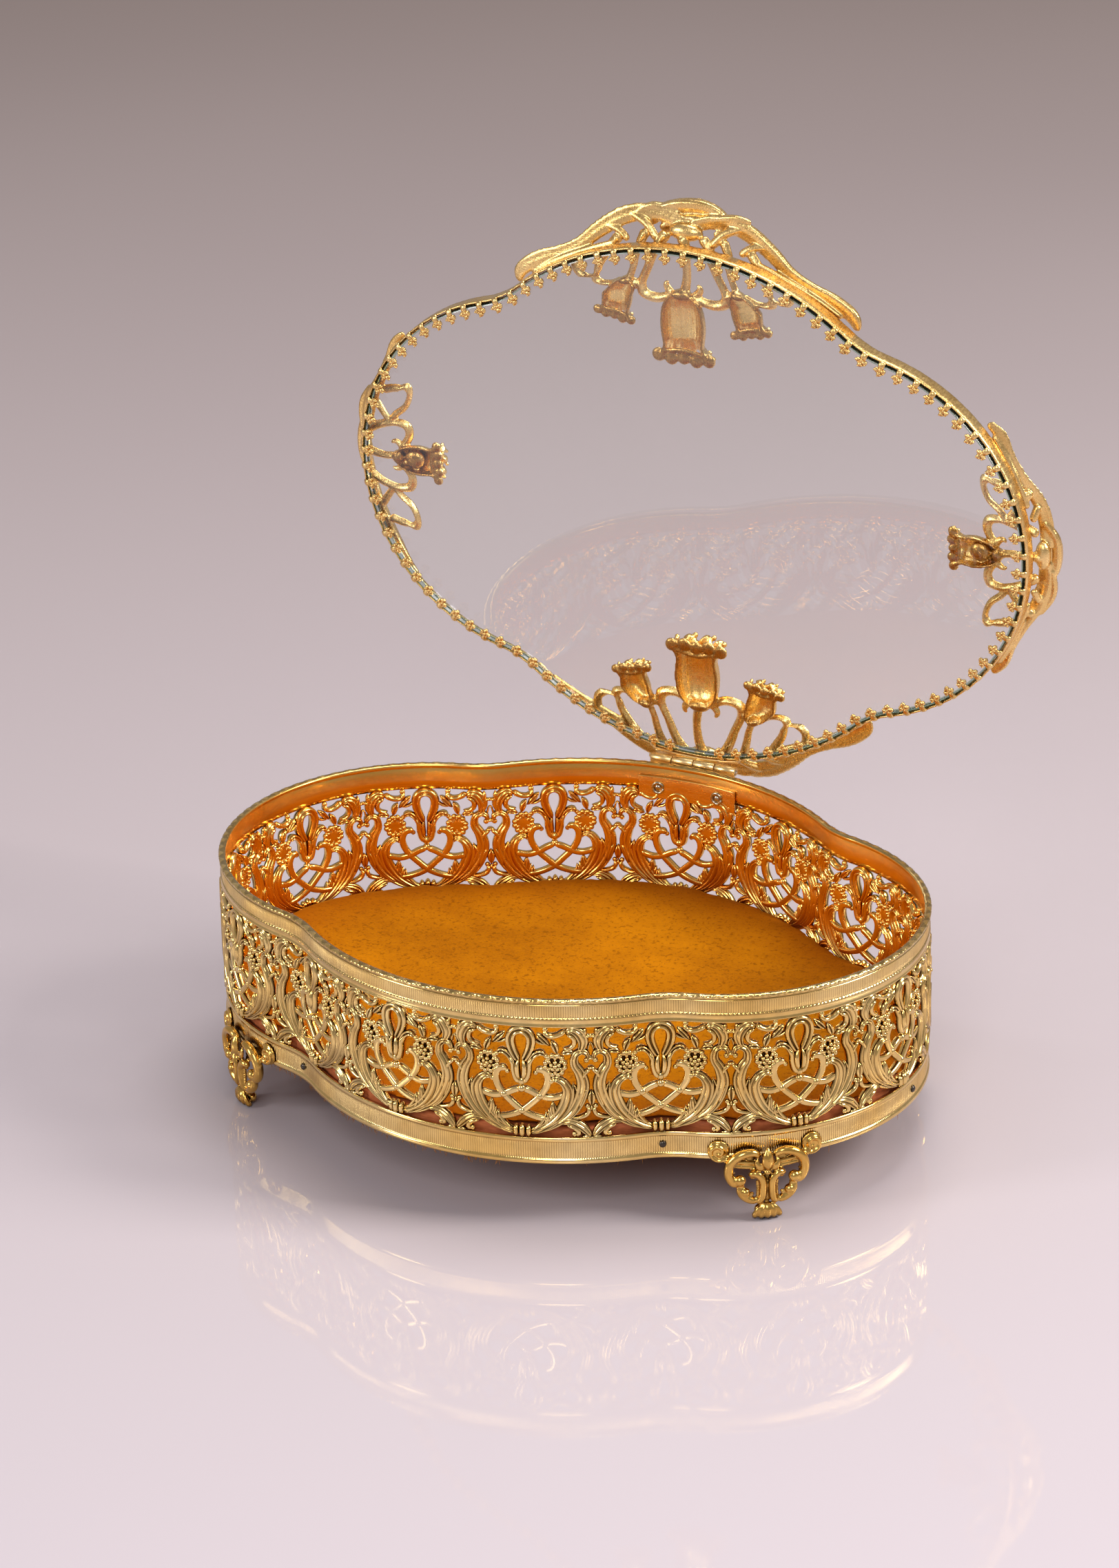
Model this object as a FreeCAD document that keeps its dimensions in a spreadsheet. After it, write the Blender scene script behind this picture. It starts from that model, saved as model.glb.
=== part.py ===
"""Footed filigree trinket box with a hinged glass lid.

The box stands on the plane z = 0 and its lid is stored open. All sub-parts are drawn about the
middle of the box and then moved back by centre_shift, so that the origin lies under the middle of
the whole open object.
"""
import FreeCAD, Part
import math
import os
import Sketcher

V = FreeCAD.Vector
UP = V(0, 0, 1)

DRIVING = {
    # four-lobed outline of the wall
    "half_length": 100.0,
    "half_width": 76.0,
    "front_radius": 76.5,
    "side_radius": 54.5,
    "notch_radius": 29.0,
    # stamped wall
    "wall_bottom": 17.5,
    "lower_band_top": 25.0,
    "upper_band_bottom": 57.0,
    "wall_top": 65.0,
    "wall_thickness": 1.0,
    "unit_count": 15,
    "unit_phase": 21.6,
    # rolled rim
    "trim_height": 1.4,
    "trim_out": 0.45,
    "trim_in": 1.9,
    "trim_cap": 0.6,
    # floor
    "floor_inset": 1.3,
    "felt_bottom": 18.0,
    "board_bottom": 19.2,
    "card_bottom": 23.2,
    "velvet_bottom": 26.0,
    "velvet_top": 28.6,
    "brad_height": 21.4,
    "brad_head_radius": 0.9,
    "brad_shank_radius": 0.5,
    "brad_spacing": 58.3,
    # cast feet
    "foot_spacing": 85.2,
    "foot_thickness": 2.6,
    "sole_radius": 3.6,
    # hinge
    "hinge_y": 78.1,
    "hinge_z": 65.0,
    "knuckle_radius": 1.35,
    "hinge_pin_radius": 0.6,
    "bore_radius": 0.65,
    "barrel_length": 26.0,
    "knuckle_gap": 0.3,
    "leaf_thickness": 0.8,
    "leaf_width": 30.4,
    "leaf_bottom": 54.6,
    "leaf_top": 61.2,
    "eyelet_spacing": 18.6,
    "eyelet_radius": 1.2,
    "open_angle": 86.0,
    # lid, measured closed
    "glass_bottom": 66.2,
    "glass_thickness": 3.6,
    "glass_inset": 0.6,
    "band_bottom": 66.8,
    "band_height": 4.2,
    "band_out": 0.5,
    "prong_count": 104,
    "prong_bottom": 65.4,
    "mount_bottom": 71.05,
    "mount_thickness": 3.2,
    "mount_reach": 6.5,
    # origin
    "centre_shift": 6.2,
}

doc = FreeCAD.newDocument("trinket_box")
sheet = doc.addObject("Spreadsheet::Sheet", "Sheet")
for row, (alias, value) in enumerate(DRIVING.items(), start=1):
    sheet.set(f"A{row}", alias)
    sheet.set(f"B{row}", str(value))
    sheet.setAlias(f"B{row}", alias)
doc.recompute()


def size(alias):
    """Value of a driving dimension."""
    return float(sheet.get(alias))


HALF_LENGTH = size("half_length")
HALF_WIDTH = size("half_width")
FRONT_RADIUS = size("front_radius")
SIDE_RADIUS = size("side_radius")
NOTCH_RADIUS = size("notch_radius")
WALL = size("wall_thickness")
BARREL = size("barrel_length")
HINGE_Y = size("hinge_y")
HINGE_Z = size("hinge_z")
GLASS_TOP = size("glass_bottom") + size("glass_thickness")
HINGE = V(0, HINGE_Y, HINGE_Z)
SUB_PARTS = []


# ---------------------------------------------------------------- outline

def circle_meeting(first, first_reach, second, second_reach):
    """Point at the given distances from two centres, on the outer side of the outline."""
    between = second - first
    span = between.Length
    along = (first_reach ** 2 - second_reach ** 2 + span ** 2) / (2 * span)
    across = math.sqrt(first_reach ** 2 - along ** 2)
    side = V(-between.y, between.x, 0).normalize()
    if (first + side * across).dot(V(1, 1, 0)) < (first - side * across).dot(V(1, 1, 0)):
        side = side * -1
    return first + between * (along / span) + side * across


def angle_of(vector):
    """Direction of a plane vector, in radians."""
    return math.atan2(vector.y, vector.x)


SIDE_CENTRE = V(HALF_LENGTH - SIDE_RADIUS, 0, 0)
BACK_CENTRE = V(0, HALF_WIDTH - FRONT_RADIUS, 0)
NOTCH_CENTRE = circle_meeting(
    BACK_CENTRE, FRONT_RADIUS + NOTCH_RADIUS, SIDE_CENTRE, SIDE_RADIUS + NOTCH_RADIUS
)
SIDE_TURN = angle_of(NOTCH_CENTRE - SIDE_CENTRE)
BACK_TURN = angle_of(NOTCH_CENTRE - BACK_CENTRE)


def outline_arcs(grow):
    """The eight arcs of the outline, offset outwards by grow, anticlockwise from the right lobe.

    Each entry is centre, radius, start angle, end angle and whether the arc bulges outwards.
    """
    lobes = [
        (SIDE_CENTRE, SIDE_RADIUS, 0.0, SIDE_TURN),
        (BACK_CENTRE, FRONT_RADIUS, math.pi / 2, math.pi / 2 - BACK_TURN),
        (SIDE_CENTRE * -1, SIDE_RADIUS, math.pi, SIDE_TURN),
        (BACK_CENTRE * -1, FRONT_RADIUS, 3 * math.pi / 2, math.pi / 2 - BACK_TURN),
    ]
    mirrors = [(1, 1), (-1, 1), (-1, -1), (1, -1)]
    arcs = []
    for (centre, radius, middle, half_sweep), (flip_x, flip_y) in zip(lobes, mirrors):
        arcs.append((centre, radius + grow, middle - half_sweep, middle + half_sweep, True))
        notch = V(NOTCH_CENTRE.x * flip_x, NOTCH_CENTRE.y * flip_y, 0)
        side = V(SIDE_CENTRE.x * flip_x, 0, 0)
        back = V(0, BACK_CENTRE.y * flip_y, 0)
        ends = [angle_of(back - notch), angle_of(side - notch)]
        if flip_x * flip_y < 0:
            ends.reverse()
        if ends[1] < ends[0]:
            ends[1] += 2 * math.pi
        arcs.append((notch, NOTCH_RADIUS - grow, ends[0], ends[1], False))
    return arcs


def outline_wire(grow, height):
    """Closed wire of the outline at one height."""
    edges = []
    for centre, radius, start, end, _ in outline_arcs(grow):
        circle = Part.Circle(centre + UP * height, UP, radius)
        edges.append(Part.ArcOfCircle(circle, start, end).toShape())
    return Part.Wire(Part.__sortEdges__(edges))


def plate(grow, bottom, top):
    """Solid slab inside the outline."""
    return Part.Face(outline_wire(grow, bottom)).extrude(UP * (top - bottom))


def ring(outer, inner, bottom, top):
    """Strip that follows the outline, from offset inner to offset outer."""
    return plate(outer, bottom, top).cut(plate(inner, bottom - 1, top + 1))


def outline_place(distance):
    """Point on the outline and its outward direction, at a distance anticlockwise from the front."""
    arcs = outline_arcs(0.0)
    front = arcs[6]
    ordered = [(front[0], front[1], 3 * math.pi / 2, front[3], True)] + arcs[7:] + arcs[:6]
    ordered.append((front[0], front[1], front[2], 3 * math.pi / 2, True))
    length = sum(radius * (end - start) for _, radius, start, end, _ in ordered)
    left = distance % length
    for centre, radius, start, end, bulges in ordered:
        run = radius * (end - start)
        if left <= run:
            break
        left -= run
    turn = left / radius
    angle = start + turn if bulges else end - turn
    ray = V(math.cos(angle), math.sin(angle), 0)
    return centre + ray * radius, ray if bulges else ray * -1


OUTLINE_LENGTH = sum(radius * (end - start) for _, radius, start, end, _ in outline_arcs(0.0))


# ---------------------------------------------------------------- document helpers

def keep(feature, label):
    """Name a finished sub-part and move it to the frame of the whole object."""
    feature.Label = label
    feature.setExpression("Placement.Base.y", "-Sheet.centre_shift")
    SUB_PARTS.append(feature)
    return feature


def plane_of(body, role):
    """One of a body's own origin planes."""
    return next(item for item in body.Origin.OriginFeatures if item.Role == role)


def add_loop(sketch, grow_text):
    """Draw the outline in a sketch, with its radii and centres bound to the sheet."""
    grow = float(sheet.evalExpression(grow_text)) if grow_text else 0.0
    first = sketch.GeometryCount
    arcs = outline_arcs(grow)
    for centre, radius, start, end, _ in arcs:
        sketch.addGeometry(Part.ArcOfCircle(Part.Circle(centre, UP, radius), start, end), False)
    extra = f" + ({grow_text})" if grow_text else ""
    lobe_radii = ["side_radius", "front_radius", "side_radius", "front_radius"]
    for turn in range(4):
        lobe = first + 2 * turn
        notch = lobe + 1
        after = first + (2 * turn + 2) % 8
        sketch.addConstraint(Sketcher.Constraint("Tangent", lobe, 2, notch, 2))
        sketch.addConstraint(Sketcher.Constraint("Tangent", notch, 1, after, 1))
    for turn in range(4):
        lobe = first + 2 * turn
        centre, radius = arcs[2 * turn][:2]
        along_x = turn % 2 == 0
        sign = "" if turn in (0, 1) else "-"
        name = sketch.addConstraint(Sketcher.Constraint("Radius", lobe, radius))
        sketch.setExpression(f"Constraints[{name}]", f"Sheet.{lobe_radii[turn]}{extra}")
        sketch.addConstraint(Sketcher.Constraint("PointOnObject", lobe, 3, -1 if along_x else -2))
        kind = "DistanceX" if along_x else "DistanceY"
        value = centre.x if along_x else centre.y
        name = sketch.addConstraint(Sketcher.Constraint(kind, -1, 1, lobe, 3, value))
        half = "half_length" if along_x else "half_width"
        reach = f"{sign}(Sheet.{half} - Sheet.{lobe_radii[turn]})"
        sketch.setExpression(f"Constraints[{name}]", reach)
        name = sketch.addConstraint(Sketcher.Constraint("Radius", lobe + 1, arcs[2 * turn + 1][1]))
        sketch.setExpression(f"Constraints[{name}]", f"Sheet.notch_radius{extra.replace('+', '-', 1)}")


def outline_body(name, loops, bottom, thickness):
    """Body padded from one or two outline loops; bottom and thickness are sheet expressions."""
    body = doc.addObject("PartDesign::Body", name)
    sketch = body.newObject("Sketcher::SketchObject", name + "_outline")
    sketch.AttachmentSupport = [(plane_of(body, "XY_Plane"), "")]
    sketch.MapMode = "FlatFace"
    for grow_text in loops:
        add_loop(sketch, grow_text)
    pad = body.newObject("PartDesign::Pad", name + "_pad")
    pad.Profile = sketch
    pad.setExpression("Length", thickness)
    body.Tip = pad
    body.setExpression("Placement.Base.z", bottom)
    return body


def feature(name, shape):
    """Feature with a shape of its own."""
    item = doc.addObject("Part::Feature", name)
    item.Shape = shape
    return item


def cut(name, base, tool):
    """Parametric cut of one object by another."""
    item = doc.addObject("Part::Cut", name)
    item.Base = base
    item.Tool = tool
    return item


def cylinder_between(start, end, radius):
    """Round bar from one point to another."""
    axis = end - start
    return Part.makeCylinder(radius, axis.Length, start, axis)


def joined(shapes):
    """One solid made of overlapping pieces."""
    return shapes[0].multiFuse(shapes[1:]).removeSplitter()


# ---------------------------------------------------------------- stamped wall

def local_point(distance, u, n, height):
    """Point given along the wall, outwards from it and above the table, about a place on it."""
    place, out = outline_place(distance)
    return place + UP.cross(out) * u + out * n + UP * height


def local_prism(distance, points, inside, outside):
    """Prism across the wall, whose section is given as (along the wall, height) points."""
    out = outline_place(distance)[1]
    corners = [local_point(distance, u, inside, height) for u, height in points]
    face = Part.Face(Part.makePolygon(corners + corners[:1]))
    return face.extrude(out * (outside - inside))


def mirrored_points(points):
    """The same outline on the other side of the unit's middle."""
    return [(-u, height) for u, height in points]


def unit_windows():
    """Openings of one filigree unit: loop, basket, shoulders, hooks and the lozenges between units."""
    low = size("lower_band_top")
    high = size("upper_band_bottom")
    middle = (low + high) / 2
    loop = [(0, high - 2), (2.2, high - 5), (0, high - 11), (-2.2, high - 5)]
    basket = [(0, low + 2), (6, low + 7), (0, low + 13), (-6, low + 7)]
    shoulder = [(5, high - 2), (11, high - 2), (8, high - 7)]
    hook = [(4, middle - 1), (9.5, middle - 4), (10.5, middle + 2), (5, middle + 4)]
    lozenge = [(14, middle), (15.8, middle - 5), (17.2, middle), (15.8, middle + 5)]
    sides = [shoulder, hook, lozenge]
    return [loop, basket] + sides + [mirrored_points(points) for points in sides]


def brad_spots():
    """Places of the six brads round the wall, from the middle of the front."""
    quarter = OUTLINE_LENGTH / 4
    spacing = size("brad_spacing")
    return [
        spacing, quarter, 2 * quarter - spacing, 2 * quarter + spacing, 3 * quarter, 4 * quarter - spacing
    ]


def brad_bar(spot, radius, inside, outside):
    """Round bar across the wall at a brad."""
    height = size("brad_height")
    start = local_point(spot, 0, inside, height)
    return cylinder_between(start, local_point(spot, 0, outside, height), radius)


def eyelet_bar(x, radius, inside, outside):
    """Round bar through the back wall at an eyelet; inside and outside are offsets from its face."""
    height = (size("leaf_bottom") + size("leaf_top")) / 2
    return cylinder_between(
        V(x, HALF_WIDTH + inside, height), V(x, HALF_WIDTH + outside, height), radius
    )


def eyelet_xs():
    """The hinge's two eyelets, left and right."""
    half = size("eyelet_spacing") / 2
    return [-half, half]


def make_wall():
    """Pierced strip bent round the outline, and the rolled rim that caps it."""
    strip = outline_body(
        "wall_strip",
        ["", "-Sheet.wall_thickness"],
        "Sheet.wall_bottom",
        "Sheet.wall_top - Sheet.trim_cap - Sheet.wall_bottom",
    )
    pitch = OUTLINE_LENGTH / size("unit_count")
    tools = []
    for unit in range(int(size("unit_count"))):
        centre = size("unit_phase") + unit * pitch
        for points in unit_windows():
            tools.append(local_prism(centre, points, -WALL - 2, 2))
    for spot in brad_spots():
        tools.append(brad_bar(spot, size("brad_shank_radius"), -WALL - 2, 2))
    for x in eyelet_xs():
        tools.append(eyelet_bar(x, size("eyelet_radius"), -6, 6))
    openings = feature("wall_openings", Part.makeCompound(tools))
    keep(cut("wall_cut", strip, openings), "gallery_wall")
    rim = outline_body(
        "rim_strip",
        ["Sheet.trim_out", "-Sheet.trim_in"],
        "Sheet.wall_top - Sheet.trim_height",
        "Sheet.trim_height",
    )
    wall_slot = outline_body(
        "rim_slot",
        ["", "-Sheet.wall_thickness"],
        "Sheet.wall_top - Sheet.trim_height - 1",
        "Sheet.trim_height + 1 - Sheet.trim_cap",
    )
    keep(cut("rim_cut", rim, wall_slot), "rim_trim")


# ---------------------------------------------------------------- floor

BRAD_LENGTH = 6.0
BRAD_HEAD = 0.5


def make_floor():
    """Felt, board, card and velvet pad, stacked inside the wall, and the brads that hold them."""
    levels = ["felt_bottom", "board_bottom", "card_bottom", "velvet_bottom", "velvet_top"]
    labels = ["underside_felt", "floor_board", "padding_card", "velvet_pad"]
    for label, low, high in zip(labels, levels, levels[1:]):
        body = outline_body(
            label + "_slab", ["-Sheet.floor_inset"], f"Sheet.{low}", f"Sheet.{high} - Sheet.{low}"
        )
        if label == "floor_board":
            shank = size("brad_shank_radius")
            holes = [brad_bar(spot, shank, -BRAD_LENGTH, 0) for spot in brad_spots()]
            body = cut("board_cut", body, feature("brad_holes", Part.makeCompound(holes)))
        keep(body, label)
    brads = []
    for spot in brad_spots():
        head = brad_bar(spot, size("brad_head_radius"), 0, BRAD_HEAD)
        shank = brad_bar(spot, size("brad_shank_radius"), -BRAD_LENGTH, BRAD_HEAD)
        brads.append(joined([head, shank]))
    keep(feature("brads", Part.makeCompound(brads)), "floor_brads")


# ---------------------------------------------------------------- feet

FOOT_VOLUTE = (12.3, 20.0, 3.3)
FOOT_ARM = (6.5, 14.8, 5.3, 3.0)
FOOT_SCROLL = (4.6, 9.4, 3.8, 1.6)
FOOT_STEM_HALF = 1.4
FOOT_STEM_TOP = 21.5
TOE_HEIGHT = 5.0
TOE_OFFSET = -0.6


def foot_disc(distance, u, height, radius):
    """Disc of the casting, lying in the plane of the wall."""
    start = local_point(distance, u, -4, height)
    return cylinder_between(start, local_point(distance, u, 8, height), radius)


def foot(distance):
    """One cast foot: two volutes on the band, two arms, two lower scrolls, a stem and a toe."""
    pieces = []
    for side in (-1, 1):
        u, height, radius = FOOT_VOLUTE
        pieces.append(foot_disc(distance, side * u, height, radius))
        for u, height, outer, inner in (FOOT_ARM, FOOT_SCROLL):
            hoop = foot_disc(distance, side * u, height, outer)
            pieces.append(hoop.cut(foot_disc(distance, side * u, height, inner)))
    stem = [
        (-FOOT_STEM_HALF, TOE_HEIGHT - 1),
        (FOOT_STEM_HALF, TOE_HEIGHT - 1),
        (FOOT_STEM_HALF, FOOT_STEM_TOP),
        (-FOOT_STEM_HALF, FOOT_STEM_TOP),
    ]
    pieces.append(local_prism(distance, stem, -4, 8))
    shell = ring(size("foot_thickness"), 0.0, 1.0, size("lower_band_top"))
    casting = joined(pieces).common(shell)
    sole = local_point(distance, 0, TOE_OFFSET, 0)
    toe = Part.makeCylinder(size("sole_radius"), TOE_HEIGHT, sole)
    return joined([casting, toe])


def make_feet():
    """Four castings, each under a side lobe beside a notch."""
    half = OUTLINE_LENGTH / 2
    spacing = size("foot_spacing")
    spots = {
        "foot_front_right": spacing,
        "foot_back_right": half - spacing,
        "foot_back_left": half + spacing,
        "foot_front_left": 2 * half - spacing,
    }
    for label, spot in spots.items():
        keep(feature(label + "_casting", foot(spot)), label)


# ---------------------------------------------------------------- hinge

KNUCKLES = 4
LOWER_KNUCKLES = (0, 3)
UPPER_KNUCKLES = (1, 2)
LEAF_OUT = 1.5
LEAF_RISE = 63.3
WEB_OUT = 3.0
WEB_IN = 0.75
WEB_HEIGHT = 0.8
WEB_RISE = 64.2
UPPER_LEAF_HEIGHT = 3.6
UPPER_WEB_DEPTH = 1.5
UPPER_WEB_START = 0.6
FLANGE_EXTRA = 0.65
FLANGE_THICKNESS = 0.45
FLANGE_LAP = 0.1
RIVET_WALL = 0.5
PLATE_BULGE = 0.85
THROUGH = 6.0


def knuckle_span(index):
    """Ends of one knuckle along the barrel."""
    pitch = (BARREL + size("knuckle_gap")) / KNUCKLES
    start = -BARREL / 2 + index * pitch
    return start, start + pitch - size("knuckle_gap")


def knuckle(index):
    """One knuckle, not yet bored."""
    start, end = knuckle_span(index)
    return Part.makeCylinder(size("knuckle_radius"), end - start, HINGE + V(start, 0, 0), V(1, 0, 0))


def barrel_bore():
    """Bore of the whole barrel."""
    return Part.makeCylinder(
        size("bore_radius"), BARREL + 2, HINGE - V(BARREL / 2 + 1, 0, 0), V(1, 0, 0)
    )


def back_strip(outer, inner, bottom, top, left, right):
    """Stretch of a strip along the back of the outline."""
    gate = Part.makeBox(right - left, HALF_WIDTH + 20, top - bottom + 2, V(left, 1, bottom - 1))
    return ring(outer, inner, bottom, top).common(gate)


def lower_leaf():
    """Leaf on the outside of the back wall, with the two outer knuckles."""
    half = size("leaf_width") / 2
    pieces = [back_strip(LEAF_OUT, 0.0, size("leaf_bottom"), LEAF_RISE, -half, half)]
    for index in LOWER_KNUCKLES:
        start, end = knuckle_span(index)
        pieces.append(back_strip(WEB_OUT, WEB_IN, LEAF_RISE - WEB_HEIGHT, WEB_RISE, start, end))
        pieces.append(knuckle(index))
    leaf = joined(pieces).cut(barrel_bore())
    for x in eyelet_xs():
        leaf = leaf.cut(eyelet_bar(x, size("eyelet_radius"), -THROUGH, THROUGH))
    return leaf


def upper_leaf():
    """Leaf on the outside of the lid's band, with the two middle knuckles."""
    low = size("band_bottom")
    inner = size("band_out")
    outer = inner + size("leaf_thickness")
    half = BARREL / 2
    pieces = [back_strip(outer, inner, low, low + UPPER_LEAF_HEIGHT, -half, half)]
    for index in UPPER_KNUCKLES:
        start, end = knuckle_span(index)
        web_bottom = HINGE_Z + UPPER_WEB_START
        web_height = low + UPPER_WEB_START - web_bottom
        corner = V(start, HINGE_Y - UPPER_WEB_DEPTH, web_bottom)
        pieces.append(Part.makeBox(end - start, UPPER_WEB_DEPTH, web_height, corner))
        pieces.append(knuckle(index))
    return joined(pieces).cut(barrel_bore())


def hinge_eyelets():
    """Two rivets with a flange at each end."""
    eyelets = []
    radius = size("eyelet_radius")
    flange_radius = radius + FLANGE_EXTRA
    inside = -WALL - size("leaf_thickness") - PLATE_BULGE
    inside_end = inside - FLANGE_THICKNESS
    outside_end = LEAF_OUT + FLANGE_THICKNESS
    for x in eyelet_xs():
        shank = eyelet_bar(x, radius, inside - FLANGE_LAP, LEAF_OUT + FLANGE_LAP)
        inner_flange = eyelet_bar(x, flange_radius, inside_end, inside)
        outer_flange = eyelet_bar(x, flange_radius, LEAF_OUT, outside_end)
        bore = eyelet_bar(x, radius - RIVET_WALL, inside_end - 1, inside + FLANGE_THICKNESS)
        eyelets.append(joined([shank, inner_flange, outer_flange]).cut(bore))
    return Part.makeCompound(eyelets)


def make_hinge():
    """Leaves, backing plate, eyelets and pin."""
    half = size("leaf_width") / 2
    backing = back_strip(
        -WALL, -WALL - size("leaf_thickness"), size("leaf_bottom"), size("leaf_top"), -half, half
    )
    for x in eyelet_xs():
        backing = backing.cut(eyelet_bar(x, size("eyelet_radius"), -THROUGH, THROUGH))
    keep(feature("backing", backing), "hinge_backing_plate")
    keep(feature("lower_leaf", lower_leaf()), "hinge_lower_leaf")
    keep(feature("eyelets", hinge_eyelets()), "hinge_eyelets")
    pin = doc.addObject("Part::Cylinder", "pin")
    pin.setExpression("Radius", "Sheet.hinge_pin_radius")
    pin.setExpression("Height", "Sheet.barrel_length")
    pin.Placement = FreeCAD.Placement(V(-BARREL / 2, 0, 0), FreeCAD.Rotation(V(0, 1, 0), 90))
    pin.setExpression("Placement.Base.z", "Sheet.hinge_z")
    keep(pin, "hinge_pin")
    pin.setExpression("Placement.Base.y", "Sheet.hinge_y - Sheet.centre_shift")
    keep(feature("upper_leaf", upper_leaf()), "hinge_upper_leaf")
    open_lid(SUB_PARTS[-1])


# ---------------------------------------------------------------- lid

def open_lid(item):
    """Swing a lid part, drawn closed, to the stored open position about the hinge pin."""
    swing = FreeCAD.Rotation(V(-1, 0, 0), size("open_angle"))
    pivot = HINGE
    moved = pivot - swing.multVec(pivot)
    lift = item.Placement.Base.z
    offset = swing.multVec(V(0, 0, lift))
    item.setExpression("Placement.Base.y", None)
    item.setExpression("Placement.Base.z", None)
    base = moved + offset - V(0, size("centre_shift"), 0)
    item.Placement = FreeCAD.Placement(base, swing)


PRONG_WIDTH = 2.4
PRONG_THICKNESS = 0.7
PRONG_REACH = 2.8
PRONG_RAIL_OUT = 0.4
PRONG_RAIL_IN = 0.5
PRONG_RAIL_HEIGHT = 0.8
BARE_PRONGS = 3
MOUNT_INNER = 2.5
MOUNT_GAP = 0.1
STEM_RADIUS = 1.6
STEM_BEHIND = 1.0
STEM_INTO_CUP = 2.0
TULIP_LIFT = 0.3
LONG_MOUNT_HALF = 52.0
SIDE_MOUNT_HALF = 38.0
BIG_TULIP_ROOT = 13.5
SMALL_TULIP_ROOT = 10.0
SIDE_TULIP_ROOT = 9.0
FAR = 200.0
BIG_TULIP = (0.0, 0.0, 18.5, 3.6, 7.6)
SMALL_TULIP = (18.0, 11.0, 12.0, 2.4, 5.2)
SIDE_TULIP = (0.0, 0.0, 13.0, 2.6, 5.4)


def prong_gallery():
    """Thin strip under the band, with prongs folded under the glass edge."""
    low = size("prong_bottom")
    top = size("band_bottom")
    pieces = [ring(PRONG_RAIL_OUT, -PRONG_RAIL_IN, top - PRONG_RAIL_HEIGHT, top)]
    count = int(size("prong_count"))
    for index in range(count):
        steps_from_back = abs(index + 0.5 - count / 2)
        if steps_from_back < BARE_PRONGS / 2:
            continue
        distance = OUTLINE_LENGTH * (index + 0.5) / count
        half = PRONG_WIDTH / 2
        section = [(-half, low), (half, low), (half, low + PRONG_THICKNESS), (-half, low + PRONG_THICKNESS)]
        pieces.append(local_prism(distance, section, -PRONG_REACH, PRONG_RAIL_OUT / 2))
    return pieces[0].multiFuse(pieces[1:])


def tulip(place, inward, length, stem_radius, mouth_radius, root):
    """Half tulip lying on the glass, mouth inwards, on a stem that reaches the edge."""
    start = place + inward * root
    cup = Part.makeCone(stem_radius, mouth_radius, length, start, inward)
    stem = Part.makeCylinder(STEM_RADIUS, root + STEM_INTO_CUP, place - inward * STEM_BEHIND, inward)
    both = joined([cup, stem])
    below = Part.makeBox(2 * FAR, 2 * FAR, FAR, V(-FAR, -FAR, place.z - FAR))
    return both.cut(below)


def mount(distance, half_span, tulips):
    """Cast mount: a bar along the lid's edge with tulips that point inwards over the glass."""
    low = size("mount_bottom")
    top = low + size("mount_thickness")
    place, out = outline_place(distance)
    along = UP.cross(out)
    gate_start = place - along * half_span - out * HALF_WIDTH / 2
    gate_end = gate_start + along * 2 * half_span
    deep = out * HALF_WIDTH
    corners = [gate_start, gate_end, gate_end + deep, gate_start + deep, gate_start]
    gate = Part.Face(Part.makePolygon(corners)).extrude(UP * FAR)
    pieces = [ring(size("mount_reach"), -MOUNT_INNER, low, top).common(gate)]
    for u, tilt, length, stem_radius, mouth_radius, root in tulips:
        spot, ray = outline_place(distance + u)
        turn = FreeCAD.Rotation(UP, tilt)
        inward = turn.multVec(ray * -1)
        base = V(spot.x, spot.y, GLASS_TOP + TULIP_LIFT)
        pieces.append(tulip(base, inward, length, stem_radius, mouth_radius, root))
    band_room = ring(FAR / 10, -size("glass_inset") - MOUNT_GAP, size("glass_bottom"), low)
    return joined(pieces).cut(band_room)


def make_lid():
    """Glass, band, prongs and the four cast mounts, each drawn closed and then swung open."""
    glass = outline_body(
        "glass_plate", ["-Sheet.glass_inset"], "Sheet.glass_bottom", "Sheet.glass_thickness"
    )
    band = outline_body(
        "band_strip", ["Sheet.band_out", "-Sheet.glass_inset"], "Sheet.band_bottom", "Sheet.band_height"
    )
    doc.recompute()
    keep(glass, "lid_glass")
    keep(band, "lid_band")
    keep(feature("prongs", prong_gallery()), "prong_gallery")
    long_tulips = [(*BIG_TULIP, BIG_TULIP_ROOT)]
    for side in (-1, 1):
        u, tilt, length, stem_radius, mouth_radius = SMALL_TULIP
        cup = (length, stem_radius, mouth_radius, SMALL_TULIP_ROOT)
        long_tulips.append((side * u, -side * tilt, *cup))
    side_tulips = [(*SIDE_TULIP, SIDE_TULIP_ROOT)]
    half = OUTLINE_LENGTH / 2
    mounts = {
        "mount_front": (0.0, LONG_MOUNT_HALF, long_tulips),
        "mount_right": (half / 2, SIDE_MOUNT_HALF, side_tulips),
        "mount_back": (half, LONG_MOUNT_HALF, long_tulips),
        "mount_left": (half * 1.5, SIDE_MOUNT_HALF, side_tulips),
    }
    for label, (distance, span, tulips) in mounts.items():
        keep(feature(label + "_casting", mount(distance, span, tulips)), label)
    for item in SUB_PARTS[-7:]:
        open_lid(item)


# ---------------------------------------------------------------- assembly

make_wall()
make_floor()
make_feet()
make_hinge()
make_lid()
doc.recompute()

for item in doc.Objects:
    if "Invalid" in item.State or "Error" in item.State:
        raise RuntimeError(f"{item.Name} failed: {item.State}")

os.makedirs("parts", exist_ok=True)
for item in SUB_PARTS:
    shape = item.Shape
    if shape.isNull() or not shape.isValid():
        raise RuntimeError(f"{item.Label} has no valid shape")
    print(f"{item.Label}: {len(shape.Solids)} solids, {shape.Volume:.0f} mm3")
    shape.exportStep(f"parts/{item.Label}.step")
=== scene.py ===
import math
import random
import bmesh
import bpy
import numpy as np
from mathutils import Matrix, Vector


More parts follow.
